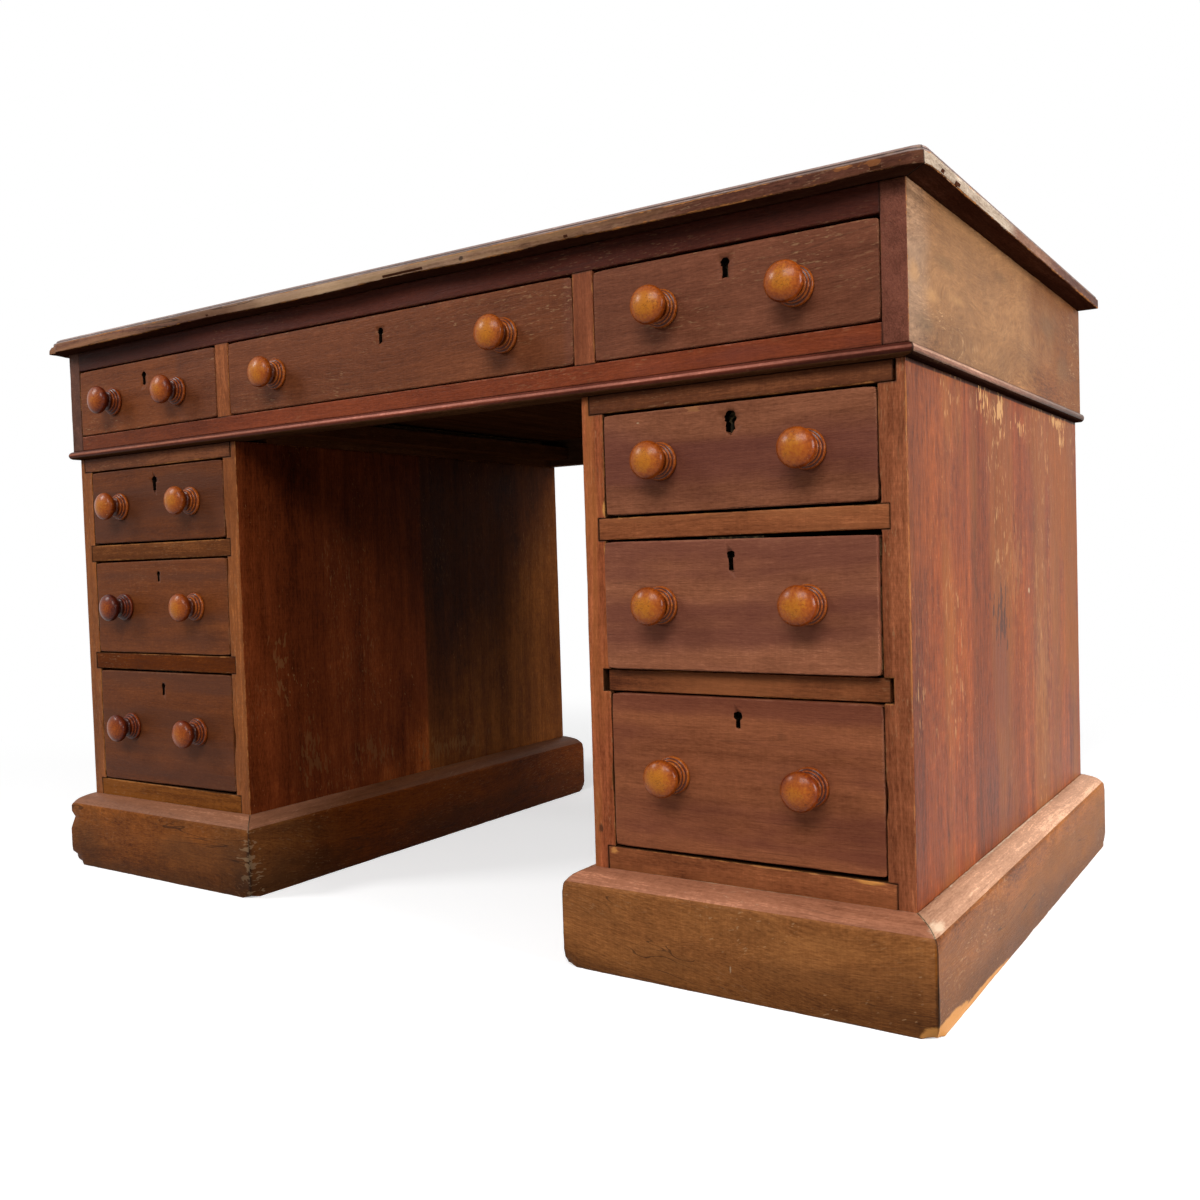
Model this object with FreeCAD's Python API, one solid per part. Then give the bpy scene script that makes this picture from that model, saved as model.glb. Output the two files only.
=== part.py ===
import FreeCAD, Part
import math
import os

# Old mahogany pedestal desk: a frieze with three drawers, a moulded top, and
# two pedestals with three drawers each, all standing on mitred plinths.
# Lengths are in millimetres. +X is the sitter's right as seen from the front,
# +Y runs to the back, +Z is up, and the floor is at zero.

# Whole desk. Its height is the sum of what stands in it, worked out below.
frieze_width = 1240.0
frieze_depth = 718.0
pedestal_width = 342.0
pedestal_depth = 708.0
pedestal_front_inset = 7.0
pedestal_end_inset = 6.0

# Desk top
top_thickness = 18.0
top_band = 12.5
top_side_overhang = 25.0
top_front_overhang = 23.0
top_fillet_setback = 4.0
top_fillet_rise = 1.5
top_ovolo_setback = 5.0
top_lower_round = 2.0

# Frieze
bead_height = 11.0
bead_projection = 5.0
frieze_end_thickness = 24.0
frieze_back_thickness = 16.0
frieze_opening = 94.0
frieze_top_rail = 27.0
frieze_bottom_rail = 20.0
muntin_width = 25.0
centre_opening_width = 540.0
partition_thickness = 20.0
frieze_runner_width = 40.0
kicker_width = 30.0

# Pedestals
rail_depth = 60.0
side_thickness = 26.0
pedestal_back_thickness = 14.0
pedestal_top_rail = 20.0
pedestal_mid_rail = 23.0
pedestal_bottom_rail = 23.0
upper_opening = 106.0
middle_opening = 132.0
lower_opening = 161.0
top_rail_lap = 17.0
mid_rail_lap = 9.0
rail_behind_plinth = 12.0
bottom_board_thickness = 12.0
pedestal_runner_height = 20.0
pedestal_runner_width = 30.0
loose_rail_setback = 4.0
loose_rail_end_gap = 4.0

# Plinths
plinth_height = 102.0
plinth_projection = 26.0
plinth_slope_rise = 13.0
plinth_slope_crown = 2.0

# Drawers
front_thickness = 22.0
front_round = 1.8
front_gap = 1.0
running_gap = 0.3
lining_thickness = 10.0
drawer_bottom_thickness = 6.0
drawer_bottom_rise = 10.0
groove_depth = 5.0
drawer_length = 660.0
side_drop = 3.0
back_drop = 8.0
tail_length = 15.0
tail_flare = 2.5
tail_pitch = 42.0
tail_waist_share = 0.3
proud_offset = 6.0

# Drawer stops
stop_width = 25.0
stop_depth = 12.0
stop_height = 6.0
stop_gap = 0.3
stop_inset = 45.0

# Knobs
knob_radius = 19.0
knob_length = 36.0
knob_spigot_radius = 6.0
knob_glue_gap = 0.05
frieze_knob_spacing = 141.0
centre_knob_inset = 90.0
frieze_knob_drop = 4.0
pedestal_knob_spacing = 156.0
lower_knob_spacing = 146.0

# Locks
lock_width = 60.0
lock_height = 36.0
lock_thickness = 12.0
lock_wall = 3.0
lock_seat_gap = 0.2
bolt_width = 22.0
bolt_thickness = 5.0
bolt_throw = 6.0
bolt_gap = 0.1
mortice_gap = 1.0
keyhole_drop = 15.0
keyhole_radius = 3.2
keyhole_slot_width = 3.4
keyhole_height = 15.0

# Cuts run this far past the surface that they open
overrun = 1.0

# Turned outline of a knob, from its seat to the rim of its domed face. Each
# stroke is a line or an arc through its points, which are shares of the
# knob's radius and of its length.
knob_outline_shares = [
    [(0.92, 0.0), (0.97, 0.05), (0.91, 0.11)],
    [(0.91, 0.11), (0.82, 0.125)],
    [(0.82, 0.125), (0.875, 0.165), (0.81, 0.205)],
    [(0.81, 0.205), (0.74, 0.22)],
    [(0.74, 0.22), (0.775, 0.26), (0.66, 0.3)],
    [(0.66, 0.3), (0.47, 0.39), (0.56, 0.5)],
    [(0.56, 0.5), (0.84, 0.565)],
    [(0.84, 0.565), (1.0, 0.71), (0.86, 0.865)],
]

# Places that follow from the sizes above
depth_overall = pedestal_front_inset + pedestal_depth + plinth_projection
y_front = (knob_length - depth_overall) / 2
y_back = y_front + frieze_depth
z_lower_opening = plinth_height + pedestal_bottom_rail
z_middle_opening = z_lower_opening + lower_opening + pedestal_mid_rail
z_upper_opening = z_middle_opening + middle_opening + pedestal_mid_rail
pedestal_height = z_upper_opening + upper_opening + pedestal_top_rail
z_frieze = pedestal_height + bead_height
z_frieze_opening = z_frieze + frieze_bottom_rail
z_top = z_frieze_opening + frieze_opening + frieze_top_rail
desk_height = z_top + top_thickness
x_end = frieze_width / 2
x_end_inner = x_end - frieze_end_thickness
x_muntin = centre_opening_width / 2 + muntin_width / 2
end_opening_width = x_end_inner - x_muntin - muntin_width / 2
pedestal_centre = x_end - pedestal_end_inset - pedestal_width / 2
y_pedestal = y_front + pedestal_front_inset
y_pedestal_back = y_pedestal + pedestal_depth
pedestal_opening_width = pedestal_width - 2 * side_thickness
centre_knob_spacing = centre_opening_width - 2 * centre_knob_inset
bolt_height = keyhole_drop - lock_wall


def point(x, y, z):
    return FreeCAD.Vector(x, y, z)


def board(x, y, z):
    """A square board between two values on each axis."""
    return Part.makeBox(x[1] - x[0], y[1] - y[0], z[1] - z[0], point(x[0], y[0], z[0]))


def centred(middle, width):
    return (middle - width / 2, middle + width / 2)


def prism(corners, direction):
    return Part.Face(Part.makePolygon(corners + corners[:1])).extrude(direction)


def union(shapes):
    return shapes[0].fuse(shapes[1:]).removeSplitter()


def write(name, solids):
    Part.Compound(solids).exportStep(os.path.join("parts", name + ".step"))


def edge_stroke(points):
    if len(points) == 2:
        return Part.makeLine(*points)
    return Part.Arc(*points).toShape()


def moulded_slab(x, y, z, strokes):
    """A slab whose front and both ends carry one moulding, mitred at the corners.

    The strokes run outwards and up as (set back, height) points.
    """
    depth = y[1] - y[0]
    width = x[1] - x[0]
    whole = board(x, y, z)

    def outline(place):
        edges = [edge_stroke([place(s, h) for s, h in stroke]) for stroke in strokes]
        first, last = strokes[0][0], strokes[-1][-1]
        edges.append(Part.makeLine(place(*last), place(-overrun, last[1])))
        edges.append(Part.makeLine(place(-overrun, last[1]), place(-overrun, first[1])))
        edges.append(Part.makeLine(place(-overrun, first[1]), place(*first)))
        return Part.Face(Part.Wire(edges))

    front = outline(lambda s, h: point(x[0] - overrun, y[0] + s, z[0] + h))
    left = outline(lambda s, h: point(x[0] + s, y[0] - overrun, z[0] + h))
    right = outline(lambda s, h: point(x[1] - s, y[0] - overrun, z[0] + h))
    cutters = [
        front.extrude(point(width + 2 * overrun, 0, 0)),
        left.extrude(point(0, depth + 2 * overrun, 0)),
        right.extrude(point(0, depth + 2 * overrun, 0)),
    ]
    for cutter in cutters:
        whole = whole.cut(cutter)
    return whole


def desk_top():
    """Solid board top: rounded lower arris, square band, fillet and worn ovolo."""
    turn = math.sqrt(0.5)
    arris = top_lower_round * (1 - turn)
    under = [(top_lower_round, -overrun), (top_lower_round, 0)]
    lower = [(top_lower_round, 0), (arris, arris), (0, top_lower_round)]
    x = (-x_end - top_side_overhang, x_end + top_side_overhang)
    y = (y_front - top_front_overhang, y_back)
    z = (z_top, desk_height)
    fillet = top_band + top_fillet_rise
    ovolo = top_fillet_setback + top_ovolo_setback
    upper = [
        [(0, top_band), (top_fillet_setback, top_band)],
        [(top_fillet_setback, top_band), (top_fillet_setback, fillet)],
        [(top_fillet_setback, fillet),
         (ovolo - top_ovolo_setback * turn, fillet + (top_thickness - fillet) * turn),
         (ovolo, top_thickness)],
        [(ovolo, top_thickness), (ovolo, top_thickness + overrun)],
    ]
    shaped = moulded_slab(x, y, z, upper)
    return [moulded_slab(x, y, z, [under, lower]).common(shaped)]


def frieze_panels():
    ends = [board(x, (y_front, y_back), (z_frieze, z_top))
            for x in ((-x_end, -x_end_inner), (x_end_inner, x_end))]
    back = board((-x_end_inner, x_end_inner), (y_back - frieze_back_thickness, y_back),
                 (pedestal_height, z_top))
    return ends + [back]


def lock_mortice(middle, y_face, z_under, proud):
    """Pocket under a rail that the lock bolt rises into."""
    y_bolt = y_face + front_thickness - lock_thickness / 2
    y = (y_bolt - bolt_thickness / 2 - mortice_gap - proud, y_bolt + bolt_thickness / 2 + mortice_gap)
    return board(centred(middle, bolt_width + 2 * mortice_gap), y,
                 (z_under - overrun, z_under + bolt_throw))


def frieze_front_frame():
    y = (y_front, y_front + rail_depth)
    x = (-x_end_inner, x_end_inner)
    top_rail = board(x, y, (z_top - frieze_top_rail, z_top))
    for drawer in frieze_drawers():
        top_rail = top_rail.cut(lock_mortice(drawer["middle"], y_front, z_top - frieze_top_rail, 0))
    bottom_rail = board(x, y, (z_frieze, z_frieze_opening))
    muntins = [board(centred(side * x_muntin, muntin_width), y,
                     (z_frieze_opening, z_top - frieze_top_rail)) for side in (-1, 1)]
    return [top_rail, bottom_rail] + muntins + stops(frieze_drawers())


def frieze_runners():
    """Partitions behind the muntins, with a runner under and a kicker over each drawer side."""
    y = (y_front + rail_depth, y_back - frieze_back_thickness)
    solids = [board(centred(side * x_muntin, partition_thickness), y, (pedestal_height, z_top))
              for side in (-1, 1)]
    walls = []
    for side in (-1, 1):
        walls.append((side * x_end_inner, -side))
        walls.append((side * (x_muntin + partition_thickness / 2), side))
        walls.append((side * (x_muntin - partition_thickness / 2), -side))
    for wall, way in walls:
        runner = sorted((wall, wall + way * frieze_runner_width))
        kicker = sorted((wall, wall + way * kicker_width))
        solids.append(board(runner, y, (z_frieze, z_frieze_opening)))
        solids.append(board(kicker, y, (z_top - frieze_top_rail, z_top)))
    return solids


def bead_section(place):
    """Half-round nose on a flat strip, drawn with (set back, height) points."""
    nose = bead_height / 2
    inner = frieze_end_thickness + bead_projection
    arc = Part.Arc(place(bead_projection, 0), place(0, nose), place(bead_projection, bead_height)).toShape()
    sides = [(bead_projection, bead_height), (inner, bead_height), (inner, 0), (bead_projection, 0)]
    lines = [Part.makeLine(place(*a), place(*b)) for a, b in zip(sides, sides[1:])]
    return Part.Face(Part.Wire([arc] + lines))


def frieze_bead():
    """Mitred strip with a half-round nose under the front rail and both end panels."""
    reach = x_end + bead_projection
    y_nose = y_front - bead_projection
    inner = frieze_end_thickness + bead_projection
    z = pedestal_height
    front = bead_section(lambda s, h: point(-reach, y_nose + s, z + h)).extrude(point(2 * reach, 0, 0))
    plan = [point(-reach, y_nose, z), point(reach, y_nose, z),
            point(reach - inner, y_nose + inner, z), point(-reach + inner, y_nose + inner, z)]
    up = point(0, 0, bead_height)
    solids = [front.common(prism(plan, up))]
    for side in (-1, 1):
        run = bead_section(lambda s, h: point(side * (reach - s), y_nose, z + h))
        run = run.extrude(point(0, y_back - y_nose, 0))
        plan = [point(side * reach, y_nose, z), point(side * reach, y_back, z),
                point(side * (reach - inner), y_back, z), point(side * (reach - inner), y_nose + inner, z)]
        solids.append(run.common(prism(plan, up)))
    return solids


def rails_of(middle):
    """The front rails of one pedestal: (x, y, z, lap into the sides)."""
    half = pedestal_opening_width / 2
    y = (y_pedestal, y_pedestal + rail_depth)
    z_mid = (z_middle_opening - pedestal_mid_rail, z_upper_opening - pedestal_mid_rail)
    spans = [
        ((pedestal_height - pedestal_top_rail, pedestal_height), top_rail_lap),
        ((z_mid[1], z_mid[1] + pedestal_mid_rail), mid_rail_lap),
        ((z_mid[0], z_mid[0] + pedestal_mid_rail), mid_rail_lap),
        ((plinth_height - rail_behind_plinth, z_lower_opening), mid_rail_lap),
    ]
    return [((middle - half - lap, middle + half + lap), y, z) for z, lap in spans]


def pedestal_sides(middle):
    """Both side boards, whose front edges show as stiles with housings for the rails."""
    half = pedestal_opening_width / 2
    solids = []
    for inner, outer in ((-half, -half - side_thickness), (half, half + side_thickness)):
        x = sorted((middle + inner, middle + outer))
        side = board(x, (y_pedestal, y_pedestal_back), (0, pedestal_height))
        for rail in rails_of(middle):
            side = side.cut(board(*rail))
        solids.append(side)
    return solids


def pedestal_rails(middle, loose):
    """Four rails. The loose one has slipped back and shrunk short of its housings."""
    solids = []
    for number, (x, y, z) in enumerate(rails_of(middle)):
        if loose and number == 2:
            x = (x[0] + loose_rail_end_gap, x[1] - loose_rail_end_gap)
            y = (y[0] + loose_rail_setback, y[1])
        solids.append(board(x, y, z))
    for number, drawer in enumerate(pedestal_drawers(middle)):
        z_under = drawer["z"][1]
        solids[number] = solids[number].cut(lock_mortice(middle, y_pedestal, z_under, drawer["proud"]))
    return solids


def pedestal_boards(middle):
    """Back panel, dust board over the drawers, and bottom board."""
    x = centred(middle, pedestal_opening_width)
    y_inside = (y_pedestal + rail_depth, y_pedestal_back - pedestal_back_thickness)
    z_bottom = plinth_height - rail_behind_plinth
    back = board(x, (y_inside[1], y_pedestal_back), (z_bottom, pedestal_height))
    dust_board = board(x, y_inside, (pedestal_height - pedestal_top_rail, pedestal_height))
    bottom = board(x, y_inside, (z_bottom, z_bottom + bottom_board_thickness))
    return [back, dust_board, bottom]


def pedestal_runners(middle):
    """A runner on each side under every drawer, and the stops on the rails."""
    half = pedestal_opening_width / 2
    y = (y_pedestal + rail_depth, y_pedestal_back - pedestal_back_thickness)
    solids = []
    for drawer in pedestal_drawers(middle):
        z = (drawer["z"][0] - pedestal_runner_height, drawer["z"][0])
        for side in (-1, 1):
            x = sorted((middle + side * half, middle + side * (half - pedestal_runner_width)))
            solids.append(board(x, y, z))
    return solids + stops(pedestal_drawers(middle))


def plinth(middle):
    """Four mitred boards round the foot of a pedestal, with a crowned sloping top."""
    x = centred(middle, pedestal_width)
    y = (y_pedestal, y_pedestal_back)
    reach = plinth_projection
    corners = [(x[0], y[0]), (x[1], y[0]), (x[1], y[1]), (x[0], y[1])]
    outer = [(x[0] - reach, y[0] - reach), (x[1] + reach, y[0] - reach),
             (x[1] + reach, y[1] + reach), (x[0] - reach, y[1] + reach)]
    solids = []
    for number in range(len(corners)):
        after = (number + 1) % len(corners)
        a, b = outer[number], outer[after]
        plan = [point(a[0], a[1], 0), point(b[0], b[1], 0),
                point(*corners[after], 0), point(*corners[number], 0)]
        block = prism(plan, point(0, 0, plinth_height))
        along = point(b[0] - a[0], b[1] - a[1], 0)
        inward = point(-along.y, along.x, 0).normalize()
        solids.append(block.common(plinth_run(point(a[0], a[1], 0), inward, along)))
    return solids


def plinth_run(start, inward, along):
    """Section of a plinth board, swept square along its outer edge."""
    def place(depth, height):
        return start + inward * depth + point(0, 0, height)

    z_arris = plinth_height - plinth_slope_rise
    crown = (plinth_projection / 2, z_arris + plinth_slope_rise / 2 + plinth_slope_crown)
    slope = Part.Arc(place(0, z_arris), place(*crown), place(plinth_projection, plinth_height)).toShape()
    foot = [(plinth_projection, plinth_height), (plinth_projection, 0), (0, 0), (0, z_arris)]
    lines = [Part.makeLine(place(*a), place(*b)) for a, b in zip(foot, foot[1:])]
    return Part.Face(Part.Wire([slope] + lines)).extrude(along)


def drawer(middle, width, z_low, height, y_face, knob_spacing, knob_drop=0, proud=0):
    """The opening that a drawer fills, and how its front and knobs sit in it."""
    return {
        "middle": middle,
        "x": centred(middle, width),
        "z": (z_low, z_low + height),
        "y_opening": y_face,
        "y": y_face - proud,
        "proud": proud,
        "knob_spacing": knob_spacing,
        "z_knob": z_low + height / 2 - knob_drop,
    }


def frieze_drawers():
    x_side = x_end_inner - end_opening_width / 2
    widths = [(-x_side, end_opening_width, frieze_knob_spacing),
              (0, centre_opening_width, centre_knob_spacing),
              (x_side, end_opening_width, frieze_knob_spacing)]
    return [drawer(middle, width, z_frieze_opening, frieze_opening, y_front, spacing, frieze_knob_drop)
            for middle, width, spacing in widths]


def pedestal_drawers(middle):
    """Upper, middle and lower drawer. The right middle one has never shut quite home."""
    proud = proud_offset if middle > 0 else 0
    rows = [(z_upper_opening, upper_opening, pedestal_knob_spacing, 0),
            (z_middle_opening, middle_opening, pedestal_knob_spacing, proud),
            (z_lower_opening, lower_opening, lower_knob_spacing, 0)]
    return [drawer(middle, pedestal_opening_width, z, height, y_pedestal, spacing, proud=out)
            for z, height, spacing, out in rows]


def stops(drawers):
    """Small blocks on the rail that each drawer front shuts against."""
    solids = []
    for d in drawers:
        y = d["y_opening"] + front_thickness + stop_gap
        for x in (d["x"][0] + stop_inset, d["x"][1] - stop_inset):
            solids.append(board(centred(x, stop_width), (y, y + stop_depth),
                                (d["z"][0], d["z"][0] + stop_height)))
    return solids


def front_box(d):
    """Outer faces of a drawer front: x, y and z ranges."""
    return ((d["x"][0] + front_gap, d["x"][1] - front_gap), (d["y"], d["y"] + front_thickness),
            (d["z"][0] + front_gap, d["z"][1] - front_gap))


def bottom_range(d):
    z = d["z"][0] + drawer_bottom_rise
    return (z, z + drawer_bottom_thickness)


def tails(d, side):
    """Lapped dovetails of one drawer side, as prisms that run into the front."""
    x, y, z = front_box(d)
    count = max(2, round((z[1] - z[0]) / tail_pitch))
    pitch = (z[1] - z[0]) / count
    waist = pitch * tail_waist_share
    outer = x[0] if side < 0 else x[1] - lining_thickness
    solids = []
    for number in range(count):
        z_mid = z[0] + pitch * (number + 1 / 2)
        corners = [point(outer, y[1], z_mid - waist), point(outer, y[1], z_mid + waist),
                   point(outer, y[1] - tail_length, z_mid + waist + tail_flare),
                   point(outer, y[1] - tail_length, z_mid - waist - tail_flare)]
        solids.append(prism(corners, point(lining_thickness, 0, 0)))
    return solids


def keyhole(d, depth):
    """Round head with a straight slot below it, cut in from the drawer's face."""
    z_head = front_box(d)[2][1] - keyhole_drop - keyhole_radius
    y = (d["y"] - overrun, d["y"] + depth)
    head = Part.makeCylinder(keyhole_radius, y[1] - y[0], point(d["middle"], y[0], z_head), point(0, 1, 0))
    slot = board(centred(d["middle"], keyhole_slot_width), y,
                 (z_head + keyhole_radius - keyhole_height, z_head))
    return head.fuse(slot)


def lock_range(d, gap):
    """The lock's seat, let in from the back and the top edge of the front."""
    x, y, z = front_box(d)
    return (centred(d["middle"], lock_width + 2 * gap), (y[1] - lock_thickness - gap, y[1]),
            (z[1] - lock_height - gap, z[1]))


def drawer_front(d):
    x, y, z = front_box(d)
    slab = board(x, y, z)
    face_edges = [e for e in slab.Edges if e.BoundBox.YMax < y[0] + overrun]
    slab = slab.makeFillet(front_round, face_edges)
    cuts = tails(d, -1) + tails(d, 1)
    cuts.append(board((x[0] + lining_thickness - groove_depth, x[1] - lining_thickness + groove_depth),
                      (y[1] - groove_depth, y[1] + overrun), bottom_range(d)))
    seat_x, seat_y, seat_z = lock_range(d, lock_seat_gap)
    cuts.append(board(seat_x, (seat_y[0], seat_y[1] + overrun), (seat_z[0], seat_z[1] + overrun)))
    cuts.append(keyhole(d, front_thickness))
    for centre in knob_centres(d):
        cuts.append(Part.makeCylinder(knob_spigot_radius + knob_glue_gap, front_thickness + 2 * overrun,
                                      centre - point(0, overrun, 0), point(0, 1, 0)))
    return [slab.cut(cuts)]


def drawer_box(d):
    """Two dovetailed sides, a back between them and a bottom slid into their grooves."""
    x, y, z = front_box(d)
    y_end = d["y"] + drawer_length
    z_side = (d["z"][0] + running_gap, z[1] - side_drop)
    groove = bottom_range(d)
    bottom = board((x[0] + lining_thickness - groove_depth, x[1] - lining_thickness + groove_depth),
                   (y[1] - groove_depth, y_end), groove)
    solids = []
    for side in (-1, 1):
        outer = x[0] if side < 0 else x[1] - lining_thickness
        lining = board((outer, outer + lining_thickness), (y[1], y_end), z_side)
        solids.append(union([lining] + tails(d, side)).cut(bottom))
    back = board((x[0] + lining_thickness, x[1] - lining_thickness), (y_end - lining_thickness, y_end),
                 (groove[1], z[1] - back_drop))
    return solids + [back, bottom]


def knob_centres(d):
    return [point(d["middle"] + side * d["knob_spacing"] / 2, d["y"], d["z_knob"]) for side in (-1, 1)]


def knob_dome(rim):
    """Arc of a sphere from the rim of a knob to the middle of its face."""
    rise = knob_length + rim.y
    radius = (rim.x ** 2 + rise ** 2) / (2 * rise)
    half_turn = math.asin(rim.x / radius) / 2
    crown = point(radius * math.sin(half_turn), radius * (1 - math.cos(half_turn)) - knob_length, 0)
    return Part.Arc(rim, crown, point(0, -knob_length, 0)).toShape()


def knob(centre):
    """One turned knob with the spigot that is glued through the front."""
    strokes = [[point(knob_radius * r, -knob_length * t, 0) for r, t in stroke]
               for stroke in knob_outline_shares]
    edges = [edge_stroke(stroke) for stroke in strokes]
    edges.append(knob_dome(strokes[-1][-1]))
    spigot = [point(0, -knob_length, 0), point(0, front_thickness, 0),
              point(knob_spigot_radius, front_thickness, 0), point(knob_spigot_radius, 0, 0), strokes[0][0]]
    edges += [Part.makeLine(a, b) for a, b in zip(spigot, spigot[1:])]
    face = Part.Face(Part.Wire(edges))
    turned = face.revolve(point(0, 0, 0), point(0, 1, 0), 360)
    return turned.translated(centre)


def drawer_knobs(d):
    return [knob(centre) for centre in knob_centres(d)]


def bolt_range(d, gap):
    x, y, z = lock_range(d, 0)
    return (centred(d["middle"], bolt_width + 2 * gap), centred(sum(y) / 2, bolt_thickness + 2 * gap),
            (z[1] - bolt_height, z[1]))


def drawer_lock(d):
    """Lock case with the slot that its bolt rises from, and its keyhole."""
    case = board(*lock_range(d, 0))
    slot_x, slot_y, slot_z = bolt_range(d, bolt_gap)
    slot = board(slot_x, slot_y, (slot_z[0], slot_z[1] + overrun))
    return [case.cut([slot, keyhole(d, front_thickness - lock_wall)])]


def drawer_bolt(d):
    return [board(*bolt_range(d, 0))]


def write_drawer(name, d):
    write(name + "_front", drawer_front(d))
    write(name + "_box", drawer_box(d))
    write(name + "_knobs", drawer_knobs(d))
    write(name + "_lock", drawer_lock(d))
    write(name + "_bolt", drawer_bolt(d))


def write_pedestal(side, middle):
    write(side + "_pedestal_sides", pedestal_sides(middle))
    write(side + "_pedestal_rails", pedestal_rails(middle, loose=middle > 0))
    write(side + "_pedestal_boards", pedestal_boards(middle))
    write(side + "_pedestal_runners", pedestal_runners(middle))
    write(side + "_plinth", plinth(middle))
    for row, d in zip(("upper", "middle", "lower"), pedestal_drawers(middle)):
        write_drawer(side + "_" + row + "_drawer", d)


def main():
    os.makedirs("parts", exist_ok=True)
    write("desk_top", desk_top())
    write("frieze_panels", frieze_panels())
    write("frieze_front_frame", frieze_front_frame())
    write("frieze_runners", frieze_runners())
    write("frieze_bead", frieze_bead())
    for column, d in zip(("left", "centre", "right"), frieze_drawers()):
        write_drawer(column + "_frieze_drawer", d)
    write_pedestal("left", -pedestal_centre)
    write_pedestal("right", pedestal_centre)


main()
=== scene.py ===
import math

import bmesh
import bpy
import numpy as np
from mathutils import Matrix, Vector, kdtree, noise
from mathutils.bvhtree import BVHTree


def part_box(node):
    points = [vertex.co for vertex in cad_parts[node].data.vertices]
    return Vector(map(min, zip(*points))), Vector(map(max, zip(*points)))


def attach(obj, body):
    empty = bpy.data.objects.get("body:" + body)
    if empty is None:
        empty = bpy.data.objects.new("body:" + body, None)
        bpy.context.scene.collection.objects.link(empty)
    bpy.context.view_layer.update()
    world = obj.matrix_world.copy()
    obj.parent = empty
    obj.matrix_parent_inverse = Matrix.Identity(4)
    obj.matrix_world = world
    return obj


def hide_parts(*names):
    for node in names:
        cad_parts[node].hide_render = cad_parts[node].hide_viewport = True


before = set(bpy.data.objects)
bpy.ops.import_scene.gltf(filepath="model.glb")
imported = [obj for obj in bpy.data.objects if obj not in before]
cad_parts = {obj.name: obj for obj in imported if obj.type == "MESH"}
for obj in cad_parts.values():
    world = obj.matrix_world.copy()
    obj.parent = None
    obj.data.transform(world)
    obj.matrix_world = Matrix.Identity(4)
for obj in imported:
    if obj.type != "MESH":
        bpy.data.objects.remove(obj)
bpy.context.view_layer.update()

# Lengths are in metres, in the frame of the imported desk: +X is the sitter's
# right, +Y runs to the back, +Z is up.

# Sizes of the joinery that the frame's boxes don't give by themselves
BEAD_HEIGHT = 0.011
END_THICKNESS = 0.024
BORDER_WIDTH = 0.070
TOP_BAND = 0.0118
TOP_SETBACK = 0.0022
TOP_FILLET_RISE = 0.0020
TOP_OVOLO = 0.005
BEAD_PROJECTION = 0.005
PLINTH_SLOPE = 0.013
PLINTH_CROWN = 0.002
PLINTH_ROUND = 0.0034
KNOB_RADIUS = 0.019
KNOB_SPIGOT = 0.006
SEAT_PLAY = 0.0002
TOP_BOARDS = 3

# Fineness of the knobs' mesh: points around, and points on each arc of the outline
KNOB_AROUND = 64
KNOB_ARC = 8

# Play between pieces, and the reach of splinters along a board's arrises
HAIRLINE = 0.0001
MITRE_GAP = 0.0003
JOINT_MARGIN = 0.0006
BOARD_SPLINTERS = 0.0008

# Lines of a board's mesh stand this far from each arris
ARRIS_LINES = (0.0, 0.0007, 0.0016, 0.0034)
WEAR_REACH = 0.0045
GRIME_REACH = 0.0030

# Where the faces round a point differ, the mean of their normals is shorter than this
FLAT_NORMAL = 0.96

# Boards are told apart by size and place: one this wide spans the desk, one this tall stands upright
SPANNING = 1.0
UPRIGHT = 0.05
DUST_BOARD_ABOVE = 0.3

# The camera that took the photograph
CAMERA_PLACE = (0.9432, -1.3305, 0.4229)
CAMERA_YAW = 0.5869
CAMERA_PITCH = -0.0361
CAMERA_ROLL = 0.0309
CAMERA_LENS = 34.446
CAMERA_SENSOR = 36.0

FLOOR_REACH = 30.0
WHITE = (1, 1, 1, 1)

# Directions, and the order of the axes for fibres that run along each of them
LEFT, RIGHT = (-1, 0, 0), (1, 0, 0)
FRONT, BACK = (0, -1, 0), (0, 1, 0)
DOWN, UP = (0, 0, -1), (0, 0, 1)
GRAIN_ORDER = {"x": (0, 1, 2), "y": (1, 0, 2), "z": (2, 1, 0)}

DRAWERS = ("left_frieze", "centre_frieze", "right_frieze", "left_upper", "left_middle",
           "left_lower", "right_upper", "right_middle", "right_lower")


# Shader helpers

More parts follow.
